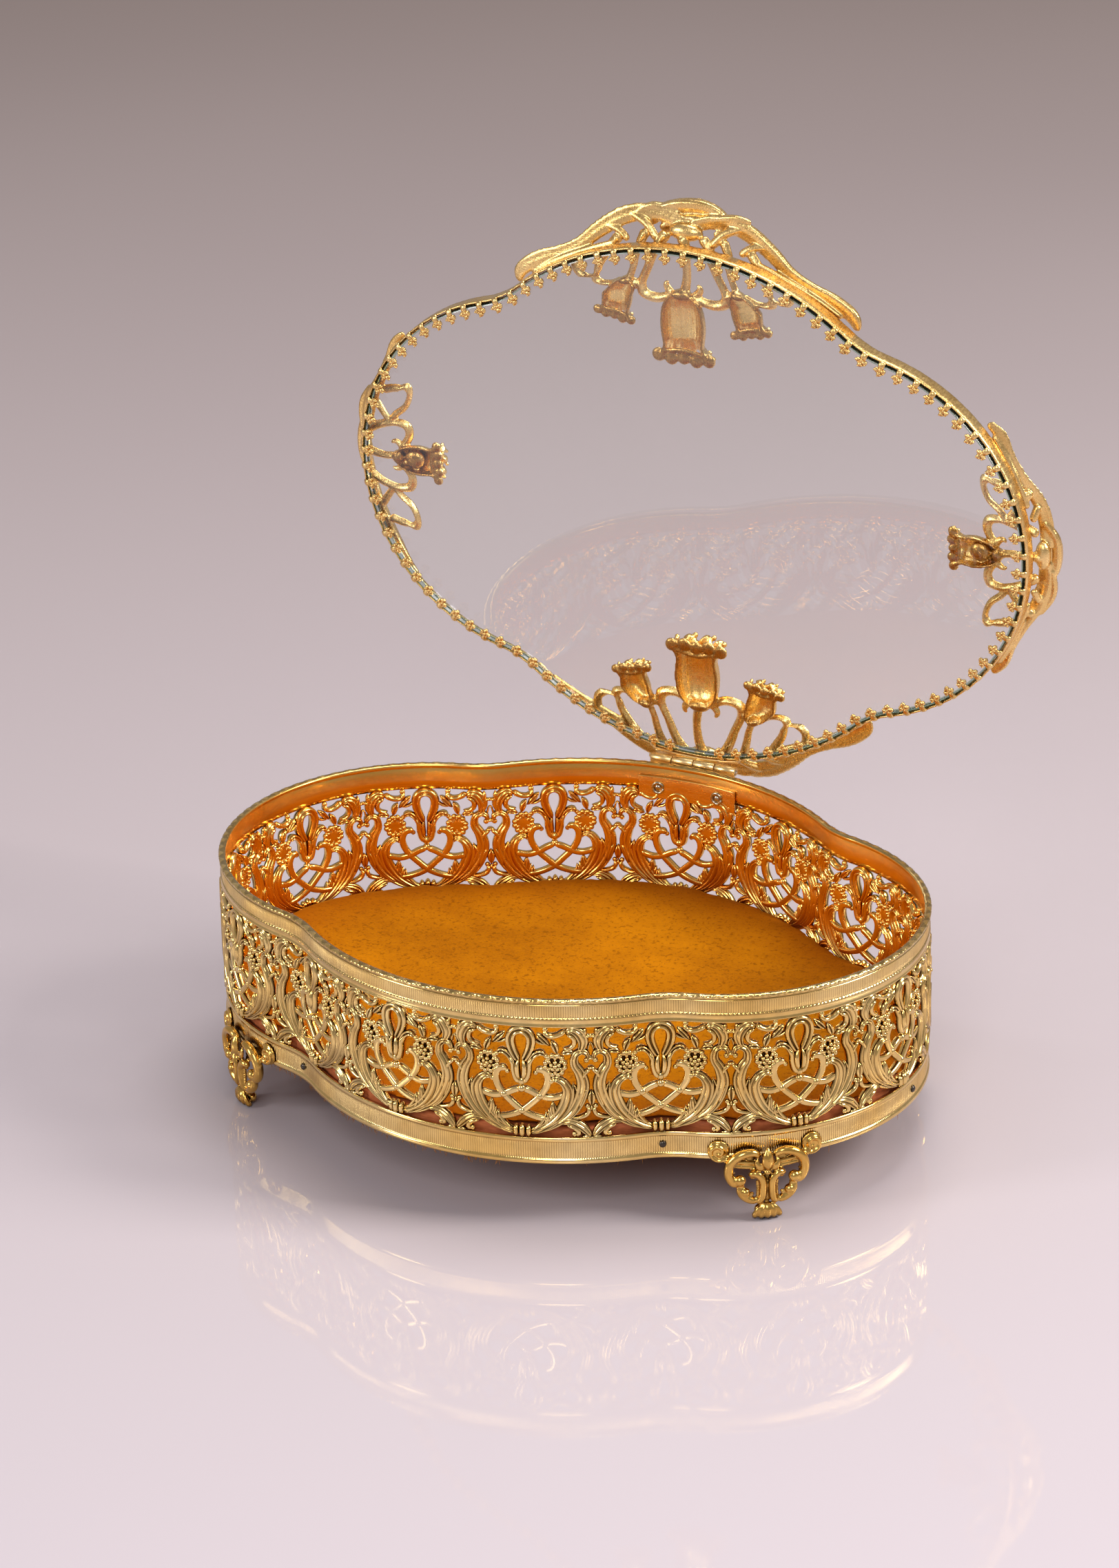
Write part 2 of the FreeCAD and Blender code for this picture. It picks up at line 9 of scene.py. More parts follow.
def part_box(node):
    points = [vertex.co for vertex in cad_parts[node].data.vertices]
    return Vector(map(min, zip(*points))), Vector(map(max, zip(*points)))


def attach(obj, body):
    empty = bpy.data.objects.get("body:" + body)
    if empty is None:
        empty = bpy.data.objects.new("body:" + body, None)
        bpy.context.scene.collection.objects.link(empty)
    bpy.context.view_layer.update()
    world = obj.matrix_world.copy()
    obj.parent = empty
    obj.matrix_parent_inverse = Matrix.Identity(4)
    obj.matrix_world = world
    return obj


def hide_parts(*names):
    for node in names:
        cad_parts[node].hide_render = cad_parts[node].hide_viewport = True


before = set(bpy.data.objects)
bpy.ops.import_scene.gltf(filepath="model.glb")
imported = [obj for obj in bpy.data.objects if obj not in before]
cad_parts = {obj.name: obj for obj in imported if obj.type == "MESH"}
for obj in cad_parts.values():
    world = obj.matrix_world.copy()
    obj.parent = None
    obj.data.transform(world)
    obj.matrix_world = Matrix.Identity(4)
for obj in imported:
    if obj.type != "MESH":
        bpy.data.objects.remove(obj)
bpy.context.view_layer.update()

MM = 0.001

# ------------------------------------------------------------------ sizes taken from the frame

WALL_LOW, WALL_HIGH = (np.array(corner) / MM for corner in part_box("gallery_wall"))
VELVET_LOW, VELVET_HIGH = (np.array(corner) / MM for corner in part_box("velvet_pad"))
PIN_LOW, PIN_HIGH = (np.array(corner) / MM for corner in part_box("hinge_pin"))
CENTRE_Y = (WALL_LOW[1] + WALL_HIGH[1]) / 2
HALF_LENGTH = (WALL_HIGH[0] - WALL_LOW[0]) / 2
HALF_WIDTH = (WALL_HIGH[1] - WALL_LOW[1]) / 2
HINGE_Y = (PIN_LOW[1] + PIN_HIGH[1]) / 2
HINGE_Z = (PIN_LOW[2] + PIN_HIGH[2]) / 2
VELVET_TOP = VELVET_HIGH[2]
FELT_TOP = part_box("underside_felt")[1][2] / MM

# ------------------------------------------------------------------ outline, in mm about the box's middle

FRONT_RADIUS = 76.5
SIDE_RADIUS = 54.5
NOTCH_RADIUS = 29.0
LOWER_BAND_TOP = 25.0
UNITS = 15  # repeats of the filigree unit round the wall
UNIT_PHASE = 21.6  # distance of the first unit's middle from the front middle


def notch_centre():
    """Centre of the concave arc between the back lobe and the right side lobe."""
    back = np.array([0.0, HALF_WIDTH - FRONT_RADIUS])
    side = np.array([HALF_LENGTH - SIDE_RADIUS, 0.0])
    reach_back = FRONT_RADIUS + NOTCH_RADIUS
    reach_side = SIDE_RADIUS + NOTCH_RADIUS
    gap = side - back
    span = np.hypot(*gap)
    along = (reach_back ** 2 - reach_side ** 2 + span ** 2) / (2 * span)
    across = math.sqrt(reach_back ** 2 - along ** 2)
    normal = np.array([-gap[1], gap[0]]) / span
    return back + gap * along / span + normal * across


def build_outline():
    """Dense table of the outline: distance from the front middle, place and outward normal."""
    side = np.array([HALF_LENGTH - SIDE_RADIUS, 0.0])
    back = np.array([0.0, HALF_WIDTH - FRONT_RADIUS])
    notch = notch_centre()
    side_turn = math.atan2(*(notch - side)[::-1])
    back_turn = math.atan2(*(notch - back)[::-1])
    to_side = math.atan2(*(side - notch)[::-1]) % (2 * math.pi)
    to_back = math.atan2(*(back - notch)[::-1]) % (2 * math.pi)
    places, normals = [], []
    for angle in np.linspace(0, side_turn, 400)[:-1]:
        ray = np.array([math.cos(angle), math.sin(angle)])
        places.append(side + SIDE_RADIUS * ray)
        normals.append(ray)
    for angle in np.linspace(to_side, to_back, 120)[:-1]:
        ray = np.array([math.cos(angle), math.sin(angle)])
        places.append(notch + NOTCH_RADIUS * ray)
        normals.append(-ray)
    for angle in np.linspace(back_turn, math.pi / 2, 400):
        ray = np.array([math.cos(angle), math.sin(angle)])
        places.append(back + FRONT_RADIUS * ray)
        normals.append(ray)
    places, normals = np.array(places), np.array(normals)
    quarter = [(places, normals)]
    flips = [((-1, 1), True), ((-1, -1), False), ((1, -1), True)]
    for flip, reverse in flips:
        p, n = places * flip, normals * flip
        quarter.append((p[::-1], n[::-1]) if reverse else (p, n))
    order = [quarter[3], quarter[0], quarter[1], quarter[2]]
    all_p = np.concatenate([p[:-1] for p, _ in order])
    all_n = np.concatenate([n[:-1] for _, n in order])
    steps = np.hypot(*(np.roll(all_p, -1, axis=0) - all_p).T)
    distance = np.concatenate([[0], np.cumsum(steps)])
    return distance, np.vstack([all_p, all_p[:1]]), np.vstack([all_n, all_n[:1]])


OUTLINE_S, OUTLINE_P, OUTLINE_N = build_outline()
LENGTH = OUTLINE_S[-1]
PITCH = LENGTH / UNITS


def along(distance):
    """Places and normals at distances anticlockwise from the front middle."""
    s = np.asarray(distance) % LENGTH
    place = np.stack([np.interp(s, OUTLINE_S, OUTLINE_P[:, i]) for i in (0, 1)], axis=-1)
    normal = np.stack([np.interp(s, OUTLINE_S, OUTLINE_N[:, i]) for i in (0, 1)], axis=-1)
    return place, normal / np.linalg.norm(normal, axis=-1, keepdims=True)


def wrap(points):
    """(distance along the wall, outward offset, height) to box coordinates in mm."""
    place, normal = along(points[:, 0])
    return np.column_stack([place + normal * points[:, 1:2], points[:, 2]])


# ------------------------------------------------------------------ mesh helpers

def to_box(points):
    """Box coordinates in mm to the frame in metres."""
    return (points + np.array([0.0, CENTRE_Y, 0.0])) * MM


def face_outwards(mesh):
    """Turns each closed skin's faces outwards."""
    work = bmesh.new()
    work.from_mesh(mesh)
    bmesh.ops.recalc_face_normals(work, faces=work.faces)
    work.to_mesh(mesh)
    work.free()


def make_piece(name, mesh, body, slot, replaces=()):
    """Piece that rides on a body and stands for the nodes that it replaces."""
    item = bpy.data.objects.new(name, mesh)
    bpy.context.scene.collection.objects.link(item)
    if replaces:
        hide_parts(*replaces)
    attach(item, body)
    return item


def make_object(name, shape, body, slot, material, replaces=(), place=to_box):
    """Smooth piece made from a relief in millimetres."""
    points, blocks, proud = shape.everything()
    faces = [tuple(face) for block in blocks for face in block.tolist()]
    mesh = bpy.data.meshes.new(name)
    mesh.from_pydata(place(points).tolist(), [], faces)
    face_outwards(mesh)
    mesh.attributes.new("proud", "FLOAT", "POINT").data.foreach_set("value", proud.astype(np.float32))
    mesh.polygons.foreach_set("use_smooth", [True] * len(mesh.polygons))
    mesh.update()
    mesh.materials.append(material)
    return make_piece(name, mesh, body, slot, replaces)


def grid_faces(rows, columns, close_rows=False, close_columns=False):
    """Quads of a grid of points stored row by row."""
    r = np.arange(rows if close_rows else rows - 1)
    c = np.arange(columns if close_columns else columns - 1)
    r, c = np.meshgrid(r, c, indexing="ij")
    r, c = r.ravel(), c.ravel()
    r2, c2 = (r + 1) % rows, (c + 1) % columns
    return np.column_stack([r * columns + c, r2 * columns + c, r2 * columns + c2, r * columns + c2])


def end_fans(start, base, columns):
    """Triangles that close a sweep's first and last rings on the two points from start on."""
    ring = np.arange(columns)
    after = np.roll(ring, -1)
    return np.vstack([
        np.column_stack([np.full(columns, start), ring, after]),
        np.column_stack([np.full(columns, start + 1), base + after, base + ring]),
    ])


def smooth_path(path, axes, pitch, samples, steps=None):
    """Catmull-Rom curve through the path, evenly stepped at about the pitch.

    The first columns, as many as there are axes, are the place. The others are carried along.
    """
    p = np.asarray(path, float)
    run = np.linalg.norm(np.diff(p[:, :axes], axis=0), axis=1).sum()
    steps = steps or int(max(8, round(run / pitch)))
    q = np.vstack([2 * p[0] - p[1], p, 2 * p[-1] - p[-2]])
    t = np.linspace(0, 1, samples, endpoint=False)[:, None]
    fine = []
    for a, b, c, d in zip(q, q[1:], q[2:], q[3:]):
        square = 2 * a - 5 * b + 4 * c - d
        cube = 3 * b - a - 3 * c + d
        fine.append(0.5 * (2 * b + (c - a) * t + square * t ** 2 + cube * t ** 3))
    fine = np.vstack(fine + [p[-1:]])
    run = np.concatenate([[0], np.cumsum(np.linalg.norm(np.diff(fine[:, :axes], axis=0), axis=1))])
    even = np.linspace(0, run[-1], steps)
    return np.column_stack([np.interp(even, run, column) for column in fine.T])


# Cross-sections of the stamped strokes: (across, height) from one edge over the front to the other.
ROUND = [
    (-1, 0.12), (-0.93, 0.3), (-0.72, 0.68), (-0.38, 0.93), (0, 1.0), (0.38, 0.93), (0.72, 0.68), (0.93, 0.3),
    (1, 0.12),
]
FLUTED = [
    (-1, 0.12), (-0.93, 0.35), (-0.75, 0.66), (-0.55, 0.62), (-0.42, 0.3), (-0.28, 0.72), (-0.02, 1.0),
    (0.22, 0.84), (0.36, 0.42), (0.52, 0.72), (0.74, 0.72), (0.93, 0.35), (1, 0.12),
]
DOUBLE = [
    (-1, 0.12), (-0.93, 0.42), (-0.7, 0.86), (-0.4, 0.92), (-0.16, 0.6), (0, 0.28), (0.16, 0.6), (0.4, 0.92),
    (0.7, 0.86), (0.93, 0.42), (1, 0.12),
]
STRAP = [
    (-1, 0.12), (-0.95, 0.45), (-0.78, 0.85), (-0.4, 1.0), (0, 0.96), (0.4, 1.0), (0.78, 0.85), (0.95, 0.45),
    (1, 0.12),
]
BACK_DEPTH = 0.85  # depth of a stroke's back as a share of its front's height
WIDEN = 1.2
RELIEF = 1.45
THINNEST = 0.12
STROKE_PITCH = 0.55
STROKE_SAMPLES = 12


def stroke(path, section=ROUND, height=1.1, lift=0.0, steps=None):
    """Stamped stroke of the flat unit: path holds (u, v, full width); returns (u, n, v) points.

    The front bulges outwards by height above lift, and the back mirrors it a little less deeply.
    """
    line = smooth_path(path, 2, STROKE_PITCH, STROKE_SAMPLES, steps)
    direction = np.gradient(line[:, :2], axis=0)
    direction /= np.linalg.norm(direction, axis=1, keepdims=True)
    across = np.column_stack([-direction[:, 1], direction[:, 0]])
    half = np.maximum(line[:, 2] * WIDEN, THINNEST) / 2
    relief = RELIEF * np.minimum(height, half * 1.15 + 0.2)
    for size in (half, relief):
        size[[0, -1]] *= 0.35
        size[[1, -2]] *= 0.85
    back = [(x * 0.97, -0.1 - BACK_DEPTH * rise) for x, rise in section[-2:0:-1]]
    loop = np.array(list(section) + back)
    u = line[:, 0, None] + across[:, 0, None] * half[:, None] * loop[None, :, 0]
    v = line[:, 1, None] + across[:, 1, None] * half[:, None] * loop[None, :, 0]
    n = lift + relief[:, None] * loop[None, :, 1]
    points = np.stack([u, n, v], axis=-1).reshape(-1, 3)
    tips = np.array([
        [line[end, 0], lift + relief[end] * 0.3, line[end, 1]] for end in (0, -1)
    ])
    tips[0, [0, 2]] -= direction[0] * half[0] * 0.5
    tips[1, [0, 2]] += direction[-1] * half[-1] * 0.5
    rows, columns = len(line), len(loop)
    proud = np.concatenate([np.tile(np.clip(loop[:, 1], 0, 1), rows), [0.5, 0.5]])
    fans = end_fans(len(points), (rows - 1) * columns, columns)
    return np.vstack([points, tips]), grid_faces(rows, columns, close_columns=True), fans, proud


def ball(u, v, radius, height=1.0, lift=0.2, rows=7, columns=10, clean=1.0):
    """Low domed bead of the flat unit."""
    lat = np.linspace(-math.pi / 2, math.pi / 2, rows + 2)[1:-1]
    lon = np.linspace(0, 2 * math.pi, columns, endpoint=False)
    lat, lon = np.meshgrid(lat, lon, indexing="ij")
    x = u + radius * np.cos(lat) * np.cos(lon)
    z = v + radius * np.cos(lat) * np.sin(lon)
    y = lift + radius * height * np.sin(lat)
    points = np.stack([x, y, z], axis=-1).reshape(-1, 3)
    poles = np.array([[u, lift - radius * height, v], [u, lift + radius * height, v]])
    quads = grid_faces(rows, columns, close_columns=True)
    fans = end_fans(len(points), (rows - 1) * columns, columns)
    proud = clean * np.concatenate([np.clip(0.5 + 0.5 * np.sin(lat).ravel(), 0, 1), [0, 1]])
    return np.vstack([points, poles]), quads, fans, proud


class Relief:
    """Vertices in mm, faces, and one value per vertex that says how proud it stands, 0 to 1."""

    def __init__(self, points=None, faces=None):
        self.points, self.faces, self.proud, self.count = [], [], [], 0
        if points is not None:
            self.put((points, faces, None, np.ones(len(points))))

    def put(self, made):
        """Adds points, quads, triangles or None, and how proud each point stands."""
        points, quads, triangles, proud = made
        self.points.append(points)
        self.proud.append(proud)
        self.faces += [block + self.count for block in (quads, triangles) if block is not None]
        self.count += len(points)

    def mirrored(self):
        """The same ornament on the other side of u = 0."""
        copy = Relief()
        copy.points = [p * np.array([-1, 1, 1]) for p in self.points]
        copy.faces = [f[:, ::-1] for f in self.faces]
        copy.proud = list(self.proud)
        copy.count = self.count
        return copy

    def append(self, other, change=lambda p: p):
        """Adds another relief with its points changed."""
        self.points += [change(p) for p in other.points]
        self.faces += [f + self.count for f in other.faces]
        self.proud += list(other.proud)
        self.count += other.count

    def changed(self, change):
        """A copy with its points changed."""
        copy = Relief()
        copy.append(self, change)
        return copy

    def everything(self):
        """All points, all blocks of faces and all proud values."""
        return np.concatenate(self.points), self.faces, np.concatenate(self.proud)


# ------------------------------------------------------------------ one filigree unit

# Strokes of the right half of the unit: section, height, lift, and a path of (u, v, full width).
HALF_STROKES = [
    (STRAP, 0.75, -0.25, [
        (3.7, 18.7, 1.1), (4.6, 19.5, 1.5), (6.1, 19.1, 1.7), (6.95, 17.2, 1.75), (6.5, 14.6, 1.75),
        (4.8, 11.9, 1.6), (2.5, 9.6, 1.6), (0.1, 7.5, 1.6), (-2.4, 6.2, 1.5), (-5.2, 5.4, 1.4),
        (-8.2, 5.2, 1.3),
    ]),
    (STRAP, 0.7, -0.35, [
        (0.0, 14.0, 1.5), (2.4, 13.1, 1.6), (4.8, 11.9, 1.6), (8.0, 11.3, 1.6), (11.6, 12.3, 1.5),
    ]),
    (FLUTED, 1.05, 0.0, [
        (1.9, 1.5, 1.5), (4.8, 2.5, 2.1), (8.0, 4.7, 2.7), (10.4, 7.6, 3.0), (11.8, 10.8, 3.0),
        (12.1, 13.6, 2.6), (11.0, 16.0, 2.0), (9.1, 17.1, 1.6), (7.7, 16.5, 1.2),
    ]),
    (DOUBLE, 0.85, -0.2, [
        (3.4, 1.5, 0.9), (7.4, 3.0, 1.6), (10.8, 5.4, 2.2), (13.3, 8.6, 2.7), (14.1, 12.6, 2.2),
        (13.4, 15.8, 0.3),
    ]),
    (DOUBLE, 0.85, 0.05, [(2.6, 1.4, 1.2), (5.0, 3.2, 2.1), (6.4, 5.6, 1.6), (6.2, 7.6, 0.25)]),
    (FLUTED, 0.85, 0.0, [(8.9, 5.0, 1.2), (8.3, 7.9, 2.0), (8.1, 10.6, 0.3)]),
    (ROUND, 0.7, -0.1, [(7.0, 3.2, 0.8), (7.4, 5.8, 1.3), (6.9, 8.3, 0.3)]),
    (FLUTED, 1.1, -0.05, [
        (8.9, 3.9, 1.2), (12.6, 6.9, 2.4), (15.0, 10.8, 3.0), (16.1, 15.0, 3.0), (15.3, 18.7, 2.6),
        (13.9, 21.4, 2.1), (14.2, 23.9, 1.7), (15.8, 25.0, 1.6), (17.2, 24.2, 1.3), (17.3, 22.6, 1.0),
    ]),
    (ROUND, 0.85, -0.1, [(15.6, 16.6, 1.0), (16.6, 18.6, 1.3), (18.2, 20.0, 0.9)]),
    (ROUND, 0.8, -0.25, [(15.0, 8.2, 0.6), (15.9, 11.6, 1.4), (17.3, 14.6, 0.3)]),
    (ROUND, 0.85, -0.1, [
        (17.1, 9.0, 0.9), (17.5, 7.7, 1.2), (16.6, 6.4, 1.3), (14.2, 5.7, 0.9), (12.6, 6.1, 0.5),
    ]),
    (FLUTED, 0.95, 0.0, [
        (9.3, 4.2, 0.8), (12.4, 4.7, 1.8), (15.2, 3.4, 2.2), (17.0, 1.6, 1.8), (18.0, 0.2, 0.7),
    ]),
    (ROUND, 0.85, 0.0, [(11.6, 3.6, 0.8), (13.9, 2.7, 1.3), (14.8, 1.3, 1.3), (13.9, 0.4, 0.9)]),
    (ROUND, 0.6, -0.1, [(18.2, 0.0, 0.6), (16.9, 0.1, 1.1), (15.5, 0.0, 0.8)]),
    (DOUBLE, 0.95, 0.0, [
        (1.7, 19.0, 1.1), (2.2, 21.6, 1.3), (3.3, 23.7, 1.4), (5.1, 24.7, 1.4), (6.5, 23.8, 1.1),
    ]),
    (DOUBLE, 0.85, 0.0, [(4.2, 30.0, 0.7), (5.8, 28.5, 1.5), (7.7, 26.5, 0.5)]),
    (DOUBLE, 0.9, 0.05, [(7.9, 28.2, 0.5), (8.9, 26.4, 1.7), (9.5, 24.3, 0.7)]),
    (ROUND, 0.6, -0.2, [(3.4, 28.6, 0.5), (4.6, 27.4, 0.8), (6.8, 26.8, 0.5)]),
    (DOUBLE, 0.85, 0.05, [(10.4, 24.3, 0.6), (12.2, 25.0, 1.5), (14.1, 24.7, 0.4)]),
    (FLUTED, 1.05, 0.0, [
        (11.8, 30.2, 1.3), (13.3, 31.2, 2.0), (15.1, 30.3, 2.7), (16.2, 28.0, 2.6), (15.8, 25.9, 1.6),
        (14.8, 24.4, 0.6),
    ]),
    (ROUND, 0.9, 0.0, [
        (11.9, 29.9, 1.0), (13.6, 29.0, 1.3), (13.9, 27.1, 1.3), (12.6, 25.9, 1.1), (10.9, 25.9, 0.6),
    ]),
    (ROUND, 0.8, -0.1, [(15.6, 28.9, 0.8), (16.6, 30.2, 1.3), (16.7, 31.9, 0.4)]),
    (ROUND, 0.7, -0.1, [(16.2, 28.6, 0.7), (17.3, 29.2, 0.9), (18.2, 29.2, 0.8)]),
    (ROUND, 1.0, 0.0, [
        (6.5, 31.4, 1.3), (6.4, 30.2, 1.2), (7.8, 29.4, 1.3), (9.9, 29.8, 1.4), (11.8, 31.1, 1.7),
    ]),
    (ROUND, 0.5, -0.2, [(17.4, 24.9, 0.6), (17.7, 26.5, 0.5), (18.2, 27.4, 0.5)]),
]
# Beads of the right half of the unit: u, v, radius, height and lift.
HALF_BEADS = [
    (3.75, 18.6, 0.72, 0.9, 0.1), (4.8, 11.9, 1.12, 0.9, 0.15), (7.75, 16.3, 0.85, 0.95, 0.2),
    (17.05, 22.3, 0.8, 0.95, 0.15), (17.15, 9.0, 0.75, 0.95, 0.1), (13.7, 0.9, 0.8, 0.9, 0.1),
    (6.5, 23.5, 0.72, 0.95, 0.1), (6.5, 31.3, 0.85, 0.95, 0.15),
]


def half_unit():
    """Right half of the unit; u runs from its middle to the seam with the next, v from the lower band."""
    half = Relief()
    for section, height, lift, path in HALF_STROKES:
        half.put(stroke(path, section, height, lift))
    for bead in HALF_BEADS:
        half.put(ball(*bead))
    flower(half, 8.9, 20.9)
    return half


def flower(r, u, v):
    """Six-petalled blossom: three lobes and a vein for each petal, and beads in its heart."""
    for petal in range(6):
        angle = math.pi / 2 + petal * math.pi / 3
        ray = (math.cos(angle), math.sin(angle) * 1.1)
        for turn, reach, radius in ((-0.3, 2.55, 0.82), (0.3, 2.55, 0.82), (0.0, 1.9, 0.66)):
            lobe_u = u + reach * math.cos(angle + turn)
            lobe_v = v + reach * 1.1 * math.sin(angle + turn)
            r.put(ball(lobe_u, lobe_v, radius, 1.0, 0.1, 5, 10))
        vein = [(u + ray[0] * reach, v + ray[1] * reach, width) for reach, width in ((0.8, 0.7), (2.9, 0.9))]
        r.put(stroke(vein, ROUND, 0.5, 0.15, steps=5))
    r.put(ball(u, v, 2.3, 0.12, -0.1, 5, 14, 0.3))
    for bead in range(5):
        angle = 0.3 + bead * 2 * math.pi / 5
        r.put(ball(u + 1.0 * math.cos(angle), v + 1.05 * math.sin(angle), 0.6, 1.0, 0.85, 5, 10))
    r.put(ball(u, v, 0.6, 1.0, 1.2, 5, 10))


# Round strokes on both sides of the unit's middle line: height, lift and path.
MIDDLE_PAIRS = [
    (1.0, 0.15, [(0.5, 15.6, 1.2), (1.5, 17.2, 1.5), (2.05, 19.4, 1.3), (2.2, 21.4, 1.2), (2.9, 23.3, 0.7)]),
    (1.1, 0.6, [(0.45, 16.8, 0.8), (0.85, 18.6, 1.35), (0.95, 20.6, 1.3), (0.55, 22.9, 0.5)]),
    (1.0, 0.35, [(1.75, 0.4, 1.2), (1.6, 1.9, 1.35), (1.75, 3.5, 1.2)]),
]


def middle_unit():
    """What stands on the unit's middle line and on the seam between units."""
    r = Relief()
    loop = [
        (-0.45, 21.9, 1.1), (-1.3, 23.4, 1.7), (-2.4, 25.9, 2.1), (-2.75, 28.3, 2.3), (-1.9, 30.3, 2.2),
        (0.0, 31.1, 2.1), (1.9, 30.3, 2.2), (2.75, 28.3, 2.3), (2.4, 25.9, 2.1), (1.3, 23.4, 1.7),
        (0.45, 21.9, 1.1),
    ]
    r.put(stroke(loop, DOUBLE, 1.1, 0.05))
    for side in (-1, 1):
        for height, lift, path in MIDDLE_PAIRS:
            r.put(stroke([(side * u, v, width) for u, v, width in path], ROUND, height, lift))
    r.put(ball(0, 16.2, 1.3, 0.9, 0.1))
    r.put(stroke([(0, 0.3, 1.3), (0, 2.0, 1.5), (0, 3.8, 1.3)], ROUND, 1.1, 0.55))
    r.put(ball(0, 14.0, 1.15, 0.95, 0.25))
    r.put(ball(0, 7.5, 1.1, 0.95, 0.2))
    half = PITCH / 2
    r.put(stroke([(half, 9.2, 0.8), (half, 11.6, 2.0), (half, 13.8, 0.7)], DOUBLE, 0.95, 0.1))
    r.put(stroke([(half - 1.1, 19.9, 0.7), (half, 20.2, 0.9), (half + 1.1, 19.9, 0.7)], ROUND, 0.8, -0.1))
    r.put(ball(half, 29.2, 0.6, 0.9, 0.0))
    r.put(stroke([(half, 7.6, 0.9), (half, 9.2, 0.9)], ROUND, 0.7, -0.1, steps=4))
    r.put(stroke([(half - 1.2, 22.6, 0.8), (half, 22.9, 0.9), (half + 1.2, 22.6, 0.8)], ROUND, 0.7, -0.2))
    return r


def filigree_unit():
    """Whole unit."""
    half = half_unit()
    unit = Relief()
    unit.append(half)
    unit.append(half.mirrored())
    unit.append(middle_unit())
    return unit


NEUTRAL = -0.85  # offset of the flat unit's plane from the wall's outer face


def unit_to_wall(index):
    """Change that takes the flat unit to its place round the wall."""
    centre = UNIT_PHASE + index * PITCH

    def change(points):
        return wrap(np.column_stack([
            centre + points[:, 0], NEUTRAL + points[:, 1] * 0.95, LOWER_BAND_TOP + points[:, 2],
        ]))
    return change


def moved_along(distance):
    """Change that takes (u, offset, height) to a distance along the wall."""
    def change(points):
        return wrap(np.column_stack([distance + points[:, 0], points[:, 1:]]))
    return change


# ------------------------------------------------------------------ strips round the outline

def strip(profile, columns, change=None):
    """Closed profile of (offset, height) pairs carried round the outline.

    change(s, offset, height) gives the offsets, the heights and how proud the points stand.
    """
    profile = np.asarray(profile, float)
    s = np.linspace(0, LENGTH, columns, endpoint=False)
    grid_s = np.repeat(s[:, None], len(profile), axis=1)
    offset = np.repeat(profile[None, :, 0], columns, axis=0)
    height = np.repeat(profile[None, :, 1], columns, axis=0)
    proud = np.ones_like(offset)
    if change:
        offset, height, proud = change(grid_s, offset, height)
    points = wrap(np.column_stack([grid_s.ravel(), offset.ravel(), height.ravel()]))
    shape = Relief()
    shape.put((points, grid_faces(columns, len(profile), True, True), None, np.clip(proud.ravel(), 0, 1)))
    return shape


RIBS = 880
RIB_SAMPLES = 4
RIB_DEPTH = 0.17


def ribbed(low, high, beads=None):
    """Change for a strip: fine upright ribs between two heights, and beads: (height, pitch, depth)."""
    def change(s, offset, height):
        phase = (s / LENGTH * RIBS) % 1.0
        rise = np.abs(np.sin(math.pi * phase)) ** 0.8
        worn = 0.85 + 0.15 * np.sin(s * 0.31) * np.sin(s * 0.083 + 1.0)
        ribs = (height > low) & (height < high) & (offset > -0.3)
        moved = np.where(ribs, offset + RIB_DEPTH * (rise * worn - 1.0), offset)
        proud = np.where(ribs, 0.42 + 0.58 * rise, 1.0)
        if beads:
            middle, pitch, depth = beads
            count = round(LENGTH / pitch)
            wave = np.abs(np.sin(math.pi * s / LENGTH * count)) ** 0.6
            here = (np.abs(height - middle) < 0.2) & (offset > -0.3)
            moved = np.where(here, moved - depth * (1 - wave), moved)
            proud = np.where(here, wave, proud)
        return moved, height, proud
    return change


def lower_band():
    """Flange, ribbed stretch and line under the filigree."""
    profile = [
        (-0.95, 17.5), (-0.3, 17.42), (0.15, 17.5), (0.3, 17.75), (0.3, 18.5), (0.15, 18.8), (-0.06, 18.92),
        (-0.04, 19.15), (0.0, 19.6), (0.0, 21.3), (0.0, 23.0), (-0.04, 23.55), (-0.06, 23.75), (0.08, 23.9),
        (0.16, 24.1), (0.16, 24.75), (0.0, 25.0), (-0.35, 25.1), (-0.75, 25.0), (-0.8, 24.0), (-0.8, 19.0),
        (-0.95, 18.6),
    ]
    return strip(profile, RIBS * RIB_SAMPLES, ribbed(19.0, 23.6))


def upper_band():
    """Plain hollow, row of beads, ribbed stretch and line above the filigree."""
    profile = [
        (-0.75, 57.0), (-0.35, 56.9), (0.0, 57.0), (0.14, 57.15), (0.14, 57.4), (-0.02, 57.6), (-0.1, 58.2),
        (-0.02, 58.8), (0.1, 59.0), (0.12, 59.12), (-0.04, 59.22), (0.12, 59.32), (0.2, 59.44), (0.12, 59.56),
        (-0.08, 59.68), (-0.04, 59.85), (0.0, 60.1), (0.0, 62.8), (-0.04, 62.95), (-0.06, 63.05),
        (0.22, 63.2), (0.3, 63.4), (0.1, 63.6), (-0.7, 63.75), (-0.8, 63.6), (-0.8, 59.6), (-0.95, 58.9),
        (-0.8, 58.4),
    ]
    return strip(profile, RIBS * RIB_SAMPLES, ribbed(59.8, 63.0, (59.44, 1.1, 0.16)))


RIM_OFFSET = -0.55
RIM_HEIGHT = 64.22
RIM_HALF_WIDE = 1.0
RIM_HALF_TALL = 0.78
RIM_MOTIF = 4.2  # length of one blossom and its leaf


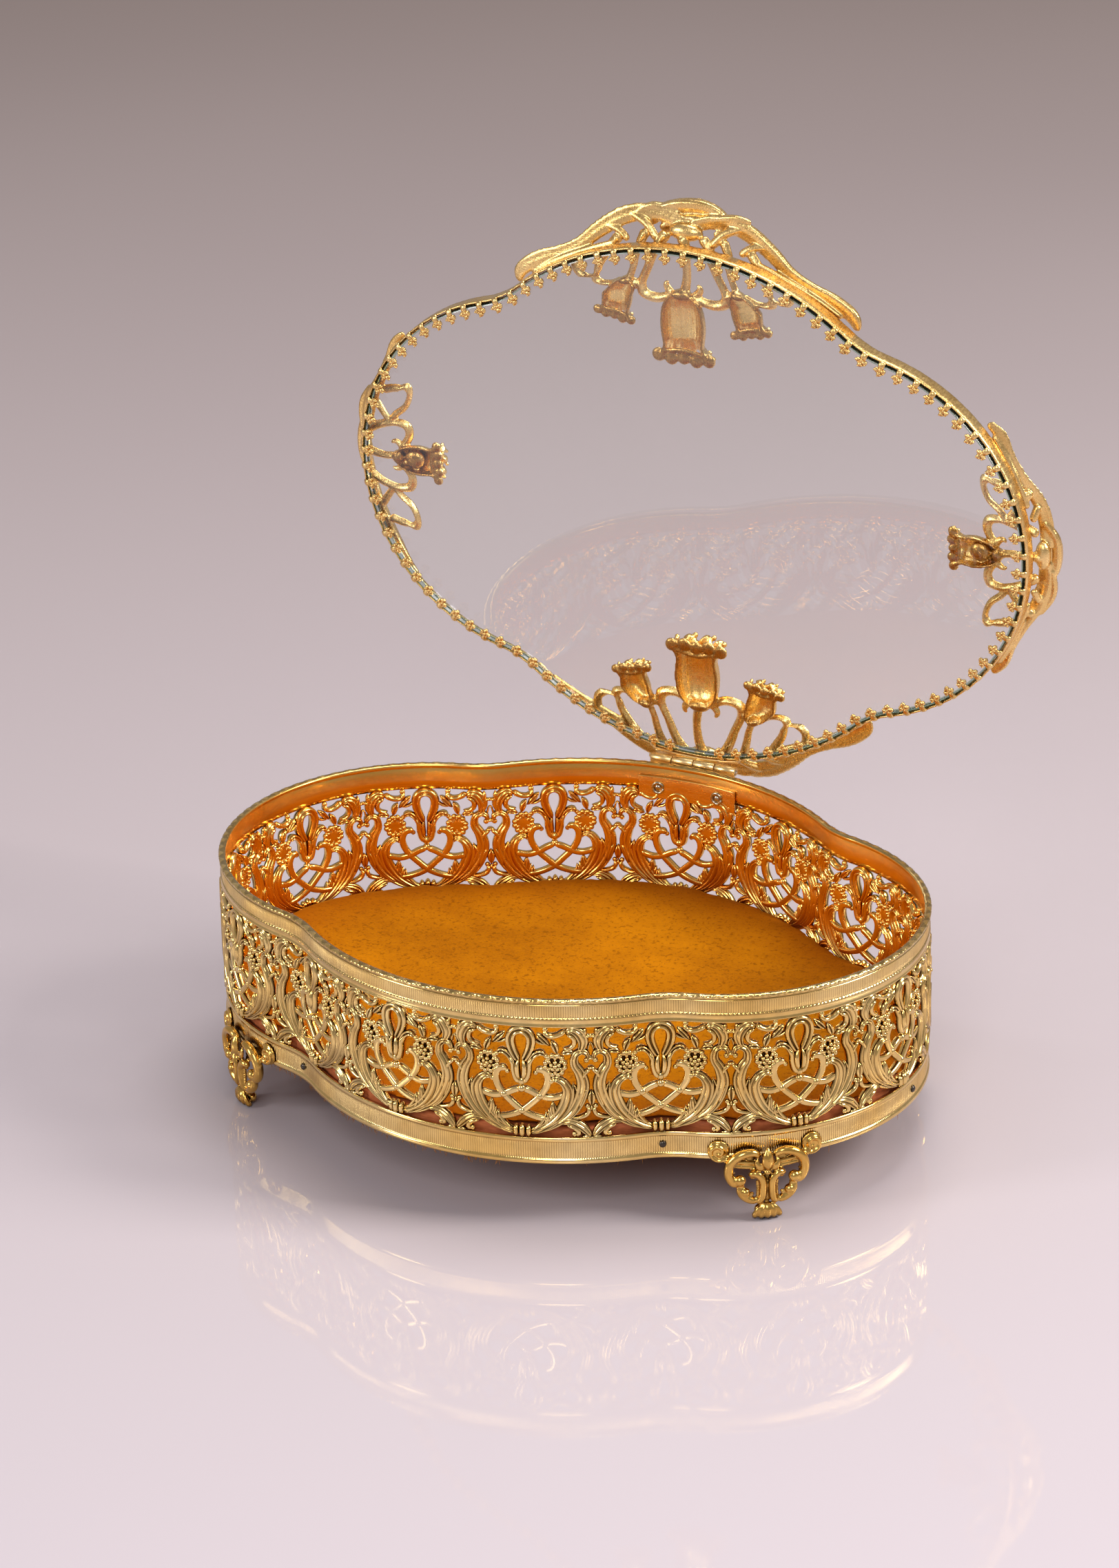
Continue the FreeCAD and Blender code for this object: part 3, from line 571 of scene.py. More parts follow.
def rim_trim():
    """Rolled rim with an embossed run of small leaves and blossoms."""
    profile = []
    for angle in np.linspace(0, 2 * math.pi, 22, endpoint=False):
        across = math.copysign(abs(math.cos(angle)) ** 0.8, math.cos(angle))
        tall = math.copysign(abs(math.sin(angle)) ** 0.8, math.sin(angle))
        profile.append((RIM_OFFSET + RIM_HALF_WIDE * across, RIM_HEIGHT + RIM_HALF_TALL * tall))

    def change(s, offset, height):
        angle = np.arctan2((height - RIM_HEIGHT) / RIM_HALF_TALL, (offset - RIM_OFFSET) / RIM_HALF_WIDE)
        across = (angle - 0.9) / 1.3
        where = (s / LENGTH * round(LENGTH / RIM_MOTIF)) % 1.0
        blossom = np.hypot((where - 0.25) * RIM_MOTIF / 0.8, across * 1.2)
        petal = np.clip(1.3 - blossom, 0, 1) * (0.65 + 0.35 * np.cos(5 * np.arctan2(across, where - 0.25)))
        lean = np.abs(across + 0.75 * np.sin((where - 0.5) * 5.5)) * 1.6
        leaf = np.clip(0.8 - lean, 0, 1) * (where > 0.42)
        veins = 0.2 * np.sin(where * 60) * (leaf > 0.1)
        rise = np.clip(np.maximum(petal, leaf + veins), 0, 1) * np.clip(1.25 - np.abs(across), 0, 1)
        lift = np.where(np.abs(across) < 1.2, 0.26 * rise - 0.12, 0.0)
        return offset + lift * np.cos(angle), height + lift * np.sin(angle) * 0.6, 0.52 + rise
    return strip(profile, 2640, change)


# ------------------------------------------------------------------ free sweeps for the castings

TUBE_PITCH = 0.45
TUBE_SAMPLES = 10


def tube(path, flat=1.0, flutes=0, depth=0.12, sides=12, up=(0, 1, 0)):
    """Closed sweep of a round or fluted section; path holds (x, y, z, diameter)."""
    line = smooth_path(path, 3, TUBE_PITCH, TUBE_SAMPLES)
    steps = len(line)
    direction = np.gradient(line[:, :3], axis=0)
    direction /= np.linalg.norm(direction, axis=1, keepdims=True)
    up = np.broadcast_to(np.asarray(up, float), direction.shape)
    side = np.cross(direction, up)
    weak = np.linalg.norm(side, axis=1) < 0.15
    side[weak] = np.cross(direction[weak], np.array([0.3, 0.2, 0.9]))
    side /= np.linalg.norm(side, axis=1, keepdims=True)
    lift = np.cross(side, direction)
    angle = np.linspace(0, 2 * math.pi, sides, endpoint=False)
    radius = line[:, 3:] / 2 * (1 + (depth if flutes else 0) * np.cos(flutes * angle)[None, :])
    ends = np.ones(steps)
    ends[[0, -1]] = 0.4
    ends[[1, -2]] = 0.85
    radius = radius * ends[:, None]
    points = (
        line[:, None, :3]
        + side[:, None, :] * (radius * np.cos(angle)[None, :])[:, :, None]
        + lift[:, None, :] * (radius * flat * np.sin(angle)[None, :])[:, :, None]
    ).reshape(-1, 3)
    fans = end_fans(len(points), (steps - 1) * sides, sides)
    points = np.vstack([points, line[0, :3], line[-1, :3]])
    return points, grid_faces(steps, sides, close_columns=True), fans, np.ones(len(points))


def blob(centre, radii, rows=8, columns=14):
    """Ellipsoid."""
    points, quads, triangles, proud = ball(0, 0, 1.0, 1.0, 0.0, rows, columns)
    return points * np.asarray(radii) + np.asarray(centre), quads, triangles, proud


def spiral(centre, radius, turns, start, width, depth):
    """Tube path that winds inwards, in the (u, n, z) plane."""
    path = []
    for t in np.linspace(0, 1, int(9 * turns) + 2):
        angle = start + t * turns * 2 * math.pi
        reach = radius * (1 - 0.8 * t)
        u, z = centre[0] + reach * math.cos(angle), centre[1] + reach * math.sin(angle)
        path.append((u, depth, z, width * (1 - 0.35 * t)))
    return path


FOOT_FACE = 1.1  # distance of the foot's middle plane from the wall
# Sweeps on both sides of the foot: flatness, flutes, their depth, and a path of (u, n, z, diameter).
FOOT_PAIRS = [
    (1.0, 0, 0.12, spiral((12.4, 19.9), 2.65, 1.3, -2.6, 1.15, 0.05)),
    (1.1, 0, 0.12, [
        (1.5, 0.3, 18.5, 1.5), (3.8, 0.8, 20.0, 2.1), (7.0, 1.0, 19.4, 2.5), (9.3, 0.9, 17.0, 2.6),
        (9.8, 0.7, 13.9, 2.6), (8.7, 0.6, 11.4, 2.5), (7.1, 0.6, 11.0, 2.0),
    ]),
    (1.15, 0, 0.12, [
        (2.6, 0.2, 4.9, 1.5), (1.5, 0.8, 6.6, 1.95), (1.15, 1.0, 9.4, 2.0), (1.4, 1.0, 12.2, 2.1),
        (2.9, 0.9, 13.9, 2.1), (4.8, 0.5, 13.4, 1.5),
    ]),
    (1.0, 0, 0.12, [(2.1, 0.7, 12.2, 1.0), (3.0, 0.8, 12.9, 1.1), (4.4, 0.6, 12.5, 0.9)]),
    (1.1, 0, 0.12, [
        (2.6, 0.0, 5.4, 1.9), (4.6, 0.4, 6.2, 2.3), (6.4, 0.5, 7.8, 2.4), (6.9, 0.4, 9.6, 2.1),
        (6.0, 0.3, 10.9, 1.5),
    ]),
    (1.0, 0, 0.12, [(5.2, 0.4, 8.0, 1.3), (4.2, 0.4, 7.5, 1.2), (3.7, 0.5, 8.4, 1.1)]),
    (0.9, 2, 0.1, [
        (0.8, 0.9, 14.8, 1.0), (2.1, 1.4, 15.9, 1.6), (2.6, 1.3, 17.4, 1.25), (2.2, 0.9, 18.7, 0.4),
    ]),
    (1.0, 0, 0.12, [(1.8, -0.4, 15.0, 1.3), (9.3, -0.5, 15.7, 1.3)]),
    (1.0, 0, 0.12, [(1.8, -0.4, 16.2, 1.3), (9.3, -0.5, 17.0, 1.3)]),
    (1.0, 0, 0.12, [(7.5, -0.5, 16.6, 1.6), (10.5, -0.5, 18.0, 2.0), (12.0, -0.6, 18.6, 2.0)]),
]
# Knobs on both sides of the foot: u, n, z, and the radii.
FOOT_KNOBS = [
    (12.4, -0.7, 19.9, (3.0, 0.75, 3.2)), (7.0, 0.9, 12.1, (1.65, 1.5, 1.6)),
    (5.7, 0.8, 8.5, (1.35, 1.3, 1.3)), (5.4, -0.9, 18.0, (3.6, 0.55, 1.3)),
]
# Knobs on the foot's middle line: n, z, and the radii.
FOOT_MIDDLE = [
    (1.3, 14.3, (1.0, 0.9, 0.7)), (-0.1, 9.5, (1.5, 0.8, 5.0)), (-1.5, 2.2, (3.2, 1.7, 1.9)),
    (-0.2, 3.6, (2.2, 1.1, 1.4)),
]
FOOT_BUD = [(1.3, 15.0, 1.3), (1.9, 17.0, 2.9), (1.9, 19.2, 2.5), (1.3, 21.7, 0.5)]


def foot_shape():
    """One cast foot in (u, n, z), n outwards from the wall."""
    foot = Relief()
    for side in (-1, 1):
        for flat, flutes, depth, path in FOOT_PAIRS:
            foot.put(tube([(side * u, FOOT_FACE + n, z, d) for u, n, z, d in path], flat, flutes, depth))
        for u, n, z, radii in FOOT_KNOBS:
            foot.put(blob((side * u, FOOT_FACE + n, z), radii))
        for bead in range(8):
            place = (side * (2.55 + 0.05 * abs(bead - 4)), FOOT_FACE + 0.55, 6.4 + bead * 0.72)
            foot.put(blob(place, (0.36, 0.5, 0.3), 5, 8))
        for bead in range(9):
            angle = 2.2 - bead * 0.36
            u, z = 6.6 + 2.35 * math.cos(angle), 15.7 + 2.55 * math.sin(angle)
            foot.put(blob((side * u, FOOT_FACE + 0.45, z), (0.34, 0.5, 0.34), 5, 8))
    foot.put(tube([(0, FOOT_FACE + n, z, d) for n, z, d in FOOT_BUD], 0.8, 4, 0.1))
    for n, z, radii in FOOT_MIDDLE:
        foot.put(blob((0, FOOT_FACE + n, z), radii))
    for lobe in range(-2, 3):
        front = FOOT_FACE - 0.14 * lobe ** 2
        foot.put(tube([
            (0.3 * lobe, FOOT_FACE + 0.6, 5.0, 0.9), (1.2 * lobe, front + 1.5, 3.3, 1.25),
            (1.6 * lobe, front + 0.9, 1.3, 1.6), (1.3 * lobe, FOOT_FACE - 0.7, 0.55, 1.0),
        ]))
    return foot


def voxel_cast(shape, size):
    """Melts a relief's overlapping parts into one cast skin, as a relief of its own."""
    points, blocks, _ = shape.everything()
    faces = [tuple(face) for block in blocks for face in block.tolist()]
    mesh = bpy.data.meshes.new("casting")
    mesh.from_pydata(points.tolist(), [], faces)
    item = bpy.data.objects.new("casting", mesh)
    bpy.context.scene.collection.objects.link(item)
    remesh = item.modifiers.new("remesh", "REMESH")
    remesh.mode = "VOXEL"
    remesh.voxel_size = size
    soften = item.modifiers.new("soften", "SMOOTH")
    soften.factor = 0.5
    soften.iterations = 2
    done = item.evaluated_get(bpy.context.evaluated_depsgraph_get()).to_mesh()
    skin = np.array([v.co for v in done.vertices], float)
    sides = [tuple(p.vertices) for p in done.polygons]
    item.to_mesh_clear()
    bpy.data.objects.remove(item)
    return Relief(skin, np.array([f for f in sides if len(f) == 4]))


# ------------------------------------------------------------------ lid

SWING = math.radians(86.0)
CLOSED_HINGE = np.array([HINGE_Y - CENTRE_Y, HINGE_Z])
GLASS_LOW = 66.2
GLASS_HIGH = 69.8


def lid_place(points):
    """Box coordinates with the lid closed, in mm, to the open lid in the frame, in metres."""
    y = points[:, 1] - CLOSED_HINGE[0]
    z = points[:, 2] - CLOSED_HINGE[1]
    opened = np.column_stack([
        points[:, 0],
        CLOSED_HINGE[0] + y * math.cos(SWING) + z * math.sin(SWING),
        CLOSED_HINGE[1] - y * math.sin(SWING) + z * math.cos(SWING),
    ])
    return to_box(opened)


TULIP_PETALS = 5


def tulip_shape(width, length, tall):
    """Half tulip in (across, height, forward): a hollow shell that opens forwards with a frilled lip."""
    rows, columns = 46, 96
    t = np.linspace(0, 1, rows)[:, None]
    a = np.linspace(0, math.pi, columns)[None, :]
    lobes = np.abs(np.cos(a * TULIP_PETALS / 2))
    body = 0.30 + 0.62 * (1 - np.exp(-t * 7.5)) - 0.10 * np.clip((t - 0.45) / 0.35, 0, 1) ** 2
    flare = 0.30 * np.clip((t - 0.76) / 0.24, 0, 1) ** 1.7
    crease = 0.06 * (1 - lobes ** 0.5) * np.clip(t * 3, 0, 1)
    ribs = 0.013 * np.cos(a * 30 + 3 * t) * np.clip(t * 4, 0, 1)
    frill = 0.05 * np.sin(a * 13 + 2 * np.sin(a * 3)) * np.clip((t - 0.82) / 0.18, 0, 1)
    radius = body + flare - crease + ribs + frill
    across = width / 2 * radius * np.cos(a) * 0.95
    height = tall * radius * np.sin(a) ** 0.8
    tip = 1 + (0.13 * np.abs(np.sin(a * 4.5 + 0.4)) - 0.05) * np.clip((t - 0.7) / 0.3, 0, 1)
    forward = length * t * tip
    outer = np.stack([across + 0 * t, height + 0 * t, forward + 0 * a], axis=-1)
    wall = 0.9 + 0.5 * np.clip((t - 0.86) / 0.14, 0, 1)
    shrink = 1 - wall / (width / 2)
    inner = np.stack([across * shrink, height * shrink - 0.1, forward + 0 * a], axis=-1)
    points = np.vstack([outer.reshape(-1, 3), inner.reshape(-1, 3)])
    points[:, 1] = np.maximum(points[:, 1], 0.0)
    n = rows * columns
    outside = grid_faces(rows, columns)
    inside = outside[:, ::-1] + n
    r = np.arange(columns - 1)
    top = (rows - 1) * columns
    lip = np.column_stack([top + r, top + r + 1, n + top + r + 1, n + top + r])
    base = np.column_stack([r + 1, r, n + r, n + r + 1])
    e = np.arange(rows - 1) * columns
    left = np.column_stack([e, e + columns, n + e + columns, n + e])
    far = e + columns - 1
    right = np.column_stack([far + columns, far, n + far, n + far + columns])
    cup = Relief(points, np.vstack([outside, inside, lip, base, left, right]))
    sill = [(-0.54, 1.3, 0.99), (-0.30, 0.8, 0.92), (0, 0.6, 0.88), (0.30, 0.8, 0.92), (0.54, 1.3, 0.99)]
    cup.put(tube([(x * width, h, f * length, 1.5) for x, h, f in sill], 0.8))
    for scallop in range(5):
        place = ((scallop - 2) * 0.24 * width, 0.9, length * (1.0 + 0.03 * (scallop % 2)))
        cup.put(blob(place, (width * 0.135, 0.85, length * 0.115)))
    for bead in range(9):
        turn = (bead + 0.5) / 9 * math.pi
        x, h = width / 2 * 1.08 * math.cos(turn), tall * 1.1 * math.sin(turn) ** 0.8
        place = (x, h, length * (1.0 + 0.05 * (bead % 2)))
        cup.put(blob(place, (width * 0.052, width * 0.045, width * 0.06), 6, 10))
    return cup


def mount_place(points, distance):
    """(along the edge, height over the glass, inwards) to closed lid coordinates.

    Near the edge the points follow its curve, and further in they stand square to the mount's middle.
    """
    place, normal = along(np.array([distance]))
    run = np.array([-normal[0, 1], normal[0, 0]])
    edge_place, edge_normal = along(distance + points[:, 0])
    deep = np.clip((points[:, 2] - 6.0) / 10.0, 0, 1)[:, None]
    straight = place[0] + run * points[:, :1] - normal[0] * points[:, 2:3]
    follow = edge_place - edge_normal * points[:, 2:3]
    flat = follow * (1 - deep) + straight * deep
    return np.column_stack([flat, GLASS_HIGH + points[:, 1]])


def put_tulip(target, width, length, tall, root, spot=0.0, lean=0.0):
    """Places a tulip with its base at (spot, root) and leaning sideways by lean radians."""
    cup = tulip_shape(width, length, tall)
    c, s = math.cos(lean), math.sin(lean)

    def change(p):
        x, h, f = p[:, 0], p[:, 1], p[:, 2]
        return np.column_stack([spot + x * c + f * s, h + 0.25, root - x * s + f * c])
    target.append(cup, change)
    target.put(blob((spot, 1.7, root + 0.3), (width * 0.22, 1.7, 1.7)))


# Sweeps of the mounts: flatness, flutes, their depth, and a path of (along, height, inwards, diameter).
# The pairs stand on both sides of the middle.
LONG_PAIRS = [
    (0.85, 4, 0.13, [
        (3.2, 2.6, 14.4, 2.4), (8.0, 3.0, 16.2, 2.8), (12.2, 3.0, 15.2, 3.0), (13.2, 2.8, 11.4, 2.8),
        (10.8, 2.6, 6.0, 2.7), (7.8, 2.6, 1.0, 2.9), (5.0, 3.2, -2.6, 3.2),
    ]),
    (0.85, 4, 0.13, [
        (19.5, 2.4, 10.6, 2.2), (23.2, 2.8, 12.9, 2.6), (27.2, 2.8, 12.4, 2.8), (29.2, 2.6, 8.8, 2.6),
        (27.4, 2.5, 4.8, 2.4), (23.4, 2.5, 1.4, 2.6), (19.0, 3.0, -2.2, 3.0),
    ]),
    (0.42, 3, 0.2, [
        (1.0, 5.4, -4.6, 3.6), (8.0, 6.0, -6.8, 4.6), (16.0, 5.4, -6.8, 5.2), (24.0, 4.2, -4.4, 4.8),
        (31.0, 3.2, -2.0, 4.0), (38.0, 3.0, -1.7, 3.8), (45.0, 3.0, -2.6, 4.6), (51.0, 2.8, -2.8, 4.2),
        (54.6, 2.6, -0.8, 2.2),
    ]),
    (0.9, 4, 0.13, [
        (2.2, 2.6, 15.2, 2.0), (4.6, 2.8, 13.2, 2.2), (5.4, 2.6, 11.6, 1.8), (4.6, 2.4, 10.6, 1.2),
    ]),
    (0.9, 4, 0.13, [(12.6, 2.8, 13.4, 2.6), (15.2, 2.6, 11.8, 2.4), (18.0, 2.4, 11.2, 2.6)]),
    (0.9, 4, 0.13, [
        (17.6, 2.4, 11.0, 2.4), (15.8, 2.4, 6.0, 2.2), (13.2, 2.6, 0.5, 2.5), (11.0, 3.4, -3.0, 2.8),
    ]),
    (0.85, 4, 0.13, [
        (28.6, 2.5, 9.2, 2.0), (32.2, 2.5, 7.4, 2.6), (34.6, 2.4, 3.8, 2.6), (33.0, 2.4, 0.0, 2.4),
    ]),
    (0.8, 4, 0.13, [(8.0, 2.6, -0.6, 2.4), (10.8, 4.0, -4.4, 2.4), (15.4, 5.4, -7.4, 2.2)]),
    (0.8, 4, 0.13, [(16.5, 2.6, -0.6, 2.2), (19.0, 3.6, -3.4, 2.2), (23.0, 4.4, -5.4, 2.0)]),
    (0.7, 3, 0.13, [
        (20.0, 2.2, -0.2, 2.4), (30.0, 2.1, 0.3, 2.6), (40.0, 2.1, 0.0, 2.4), (49.0, 2.2, -0.4, 1.8),
    ]),
]
LONG_SWEEPS = [
    (0.9, 4, 0.12, [
        (0.3, 2.3, 14.4, 3.0), (1.5, 2.4, 8.0, 2.6), (0.9, 2.4, 2.0, 2.8), (-0.8, 2.6, -2.0, 3.2),
    ]),
    (0.5, 3, 0.2, [
        (-11.5, 5.2, -4.4, 2.6), (-6.0, 6.8, -7.8, 4.8), (2.5, 7.4, -9.0, 5.6), (8.6, 6.8, -7.8, 4.2),
        (10.4, 6.0, -4.6, 2.6), (7.6, 5.0, -2.8, 2.0),
    ]),
    (0.6, 3, 0.16, [
        (-8.0, 5.4, -2.8, 2.4), (-1.0, 6.4, -5.0, 4.0), (6.0, 6.0, -6.4, 3.4), (12.5, 5.6, -8.8, 3.2),
        (17.0, 5.2, -9.8, 1.8),
    ]),
    (0.6, 3, 0.16, [(-15.0, 5.0, -6.2, 2.2), (-9.5, 6.4, -8.4, 3.6), (-3.0, 6.8, -7.0, 2.6)]),
]
SIDE_PAIRS = [
    (0.85, 4, 0.13, [
        (2.6, 2.4, 10.0, 2.2), (6.8, 2.8, 12.6, 2.6), (10.4, 2.8, 11.6, 2.8), (11.4, 2.6, 7.4, 2.6),
        (9.4, 2.5, 3.0, 2.6), (6.0, 3.0, -1.6, 2.9),
    ]),
    (0.85, 4, 0.13, [
        (11.0, 2.6, 6.2, 2.2), (14.4, 2.7, 7.6, 2.6), (17.6, 2.8, 11.4, 2.8), (21.8, 2.8, 12.6, 2.8),
        (24.6, 2.6, 10.0, 2.6), (24.2, 2.4, 6.0, 2.4), (20.6, 2.5, 1.4, 2.6),
    ]),
    (0.42, 3, 0.2, [
        (1.5, 5.0, -2.4, 3.4), (8.0, 5.6, -2.9, 4.4), (15.0, 5.0, -2.4, 4.2), (22.0, 3.6, -0.9, 3.6),
        (29.0, 3.0, -0.7, 3.4), (35.0, 3.0, -1.8, 3.6), (39.4, 2.6, -1.4, 2.4),
    ]),
    (0.9, 4, 0.13, [
        (2.0, 2.6, 10.6, 1.8), (4.2, 2.8, 9.2, 2.0), (4.8, 2.6, 7.8, 1.6), (4.0, 2.4, 7.0, 1.1),
    ]),
    (0.85, 4, 0.13, [
        (11.0, 2.6, 6.0, 2.0), (13.6, 2.6, 3.6, 2.2), (16.6, 2.8, 0.0, 2.4), (18.0, 3.2, -2.4, 2.4),
    ]),
    (0.8, 4, 0.13, [(10.0, 2.6, -0.6, 2.2), (12.4, 3.6, -1.8, 2.2), (14.0, 4.4, -2.6, 2.0)]),
    (0.7, 3, 0.13, [
        (14.0, 2.2, -0.2, 2.2), (22.0, 2.1, 0.2, 2.4), (30.0, 2.1, 0.0, 2.2), (36.0, 2.2, -0.4, 1.6),
    ]),
]
SIDE_SWEEPS = [
    (0.9, 4, 0.12, [
        (0.2, 2.4, 10.2, 2.8), (-0.5, 2.4, 5.0, 2.4), (0.2, 2.6, 0.0, 2.8), (0.0, 3.0, -2.4, 3.2),
    ]),
    (0.5, 3, 0.2, [
        (-9.0, 4.8, -2.6, 2.4), (-3.4, 6.2, -4.6, 4.4), (4.0, 6.4, -4.2, 4.8), (9.6, 5.2, -2.0, 3.0),
    ]),
    (0.45, 3, 0.2, [(4.0, 5.4, -3.8, 3.0), (11.0, 6.0, -4.6, 4.2), (17.6, 5.0, -3.2, 2.4)]),
]


def mount_sweeps(pairs, sweeps):
    """Stems, curls and ribbons of a mount, in (along, height, inwards)."""
    mount = Relief()
    for flat, flutes, depth, path in pairs:
        for side in (-1, 1):
            mount.put(tube([(side * x, h, d, w) for x, h, d, w in path], flat, flutes, depth))
    for flat, flutes, depth, path in sweeps:
        mount.put(tube(path, flat, flutes, depth))
    return mount


def long_mount():
    """Mount of the front and back edges."""
    mount = mount_sweeps(LONG_PAIRS, LONG_SWEEPS)
    put_tulip(mount, 15.5, 18.5, 6.6, 13.5)
    for side in (-1, 1):
        put_tulip(mount, 10.5, 12.0, 5.0, 10.5, side * 18.0, side * 0.2)
    mount.put(blob((0, 4.2, -2.8), (5.0, 2.2, 2.6)))
    return mount


def side_mount():
    """Mount of the two ends."""
    mount = mount_sweeps(SIDE_PAIRS, SIDE_SWEEPS)
    put_tulip(mount, 10.8, 13.0, 5.2, 9.0)
    mount.put(blob((0, 1.8, 14.5), (3.0, 1.6, 3.0)))
    mount.put(blob((0, 3.8, -2.2), (4.2, 2.0, 2.2)))
    return mount


GLASS_INSET = 0.6
GLASS_COLUMNS = 720


def lid_glass():
    """Mesh of the plate with ground, rounded edges; its first slot is the flats, the second the edge."""
    edge = 0.45
    soft = edge * 0.3
    profile = [
        (edge, GLASS_LOW), (soft, GLASS_LOW + soft), (0, GLASS_LOW + edge), (0, GLASS_HIGH - edge),
        (soft, GLASS_HIGH - soft), (edge, GLASS_HIGH),
    ]
    s = np.linspace(0, LENGTH, GLASS_COLUMNS, endpoint=False)
    around = np.ones(GLASS_COLUMNS)
    points = np.vstack([
        wrap(np.column_stack([s, around * (-GLASS_INSET - inwards), around * z])) for inwards, z in profile
    ])
    ring = list(range(GLASS_COLUMNS))
    faces = [tuple(face) for face in grid_faces(len(profile), GLASS_COLUMNS, close_columns=True).tolist()]
    faces.append(tuple(ring[::-1]))
    faces.append(tuple(r + (len(profile) - 1) * GLASS_COLUMNS for r in ring))
    mesh = bpy.data.meshes.new("lid_pane")
    mesh.from_pydata(lid_place(points).tolist(), [], faces)
    mesh.materials.append(GLASS)
    mesh.materials.append(GLASS_EDGE)
    for polygon in mesh.polygons:
        polygon.material_index = 1 if len(polygon.vertices) == 4 else 0
    return mesh


PRONG_PLACES = 104  # the two at the hinge are left free
PRONG_HEADS = ((-0.95, -2.0, 0.72), (0.95, -2.0, 0.72), (0.0, -2.95, 0.8), (0.0, -1.9, 0.62))


def prong():
    """Strap round the glass edge and small trefoil head under the glass, in (s, offset, z) closed."""
    part = Relief()
    strap = [
        (0, 0.3, 67.2, 0.7), (0, 0.3, 66.6, 0.8), (0, 0.0, 66.05, 0.8), (0, -0.9, 65.85, 0.75),
        (0, -1.9, 65.85, 0.6),
    ]
    part.put(tube(strap, 2.4, up=(1, 0, 0), sides=10))
    for along_edge, offset, radius in PRONG_HEADS:
        part.put(blob((along_edge, offset, 65.75), (radius, radius, 0.62), 6, 10))
        for knob in range(3):
            turn = knob * 2.1 + along_edge
            reach = radius * 0.75
            place = (along_edge + reach * math.cos(turn), offset + reach * math.sin(turn), 65.6)
            part.put(blob(place, (0.33, 0.33, 0.6), 4, 7))
    return part


def prongs():
    """The run of prongs, a little uneven."""
    one, shape = prong(), Relief()
    for index in range(PRONG_PLACES):
        if abs(index + 0.5 - PRONG_PLACES / 2) > 1:
            jog = 0.12 * math.sin(index * 7.3)
            shape.append(one, moved_along(LENGTH * (index + 0.5) / PRONG_PLACES + jog))
    return shape


def lid_band():
    """Flat strip round the glass, turned in at its lower edge."""
    profile = [
        (0.35, 66.7), (0.5, 66.95), (0.52, 68.0), (0.5, 69.4), (0.5, 70.6), (0.4, 70.95), (0.1, 71.05),
        (-0.4, 71.0), (-0.58, 70.7), (-0.55, 69.9), (-0.1, 69.85), (-0.1, 66.75), (0.1, 66.62),
    ]

    def change(s, offset, height):
        wobble = 0.03 * np.sin(s * 0.9) * np.sin(s * 0.23) + 0.02 * np.sin(s * 2.7)
        return offset + wobble, height, np.ones_like(offset)
    return strip(profile, 1600, change)


# ------------------------------------------------------------------ materials

class Nodes:
    """Short way to build a material's node tree."""

    def __init__(self, name):
        self.material = bpy.data.materials.new(name)
        self.material.use_nodes = True
        self.tree = self.material.node_tree
        self.shader = self.tree.nodes["Principled BSDF"]
        self.output = self.tree.nodes["Material Output"]

    def add(self, kind, inputs=(), **settings):
        """Node with its settings and inputs."""
        node = self.tree.nodes.new(kind)
        for key, value in settings.items():
            setattr(node, key, value)
        for key, value in dict(inputs).items():
            self.feed(node.inputs[key], value)
        return node

    def feed(self, socket, value):
        """Links another node's output to a socket, or sets the socket to a constant."""
        if isinstance(value, bpy.types.NodeSocket):
            self.tree.links.new(value, socket)
        else:
            socket.default_value = value

    def set(self, **inputs):
        """Feeds the shader's inputs."""
        for key, value in inputs.items():
            self.feed(self.shader.inputs[key.replace("_", " ")], value)

    def where(self):
        return self.add("ShaderNodeTexCoord").outputs["Object"]

    def noise(self, scale, detail=4.0, rough=0.55, stretch=None, vector=None):
        vector = vector or self.where()
        if stretch:
            vector = self.add("ShaderNodeMapping", {"Vector": vector, "Scale": stretch}).outputs[0]
        inputs = {"Vector": vector, "Scale": scale, "Detail": detail, "Roughness": rough}
        return self.add("ShaderNodeTexNoise", inputs).outputs[0]

    def ramp(self, value, low, high, start=0.0, end=1.0):
        return self.add("ShaderNodeMapRange", {
            "Value": value, "From Min": low, "From Max": high, "To Min": start, "To Max": end,
        }).outputs[0]

    def mix(self, factor, a, b, blend="MIX"):
        node = self.add("ShaderNodeMix", data_type="RGBA", blend_type=blend)
        self.feed(node.inputs["Factor"], factor)
        self.feed(node.inputs["A"], a)
        self.feed(node.inputs["B"], b)
        return node.outputs["Result"]

    def math(self, operation, a, b=0.0):
        node = self.add("ShaderNodeMath", operation=operation)
        self.feed(node.inputs[0], a)
        self.feed(node.inputs[1], b)
        return node.outputs[0]

    def bump(self, height, strength, distance):
        inputs = {"Height": height, "Strength": strength, "Distance": distance}
        return self.add("ShaderNodeBump", inputs).outputs[0]

    def crevice(self, reach):
        """How open a place is: 0 in narrow recesses, 1 on open faces."""
        return self.add("ShaderNodeAmbientOcclusion", {"Distance": reach}, samples=8).outputs["AO"]


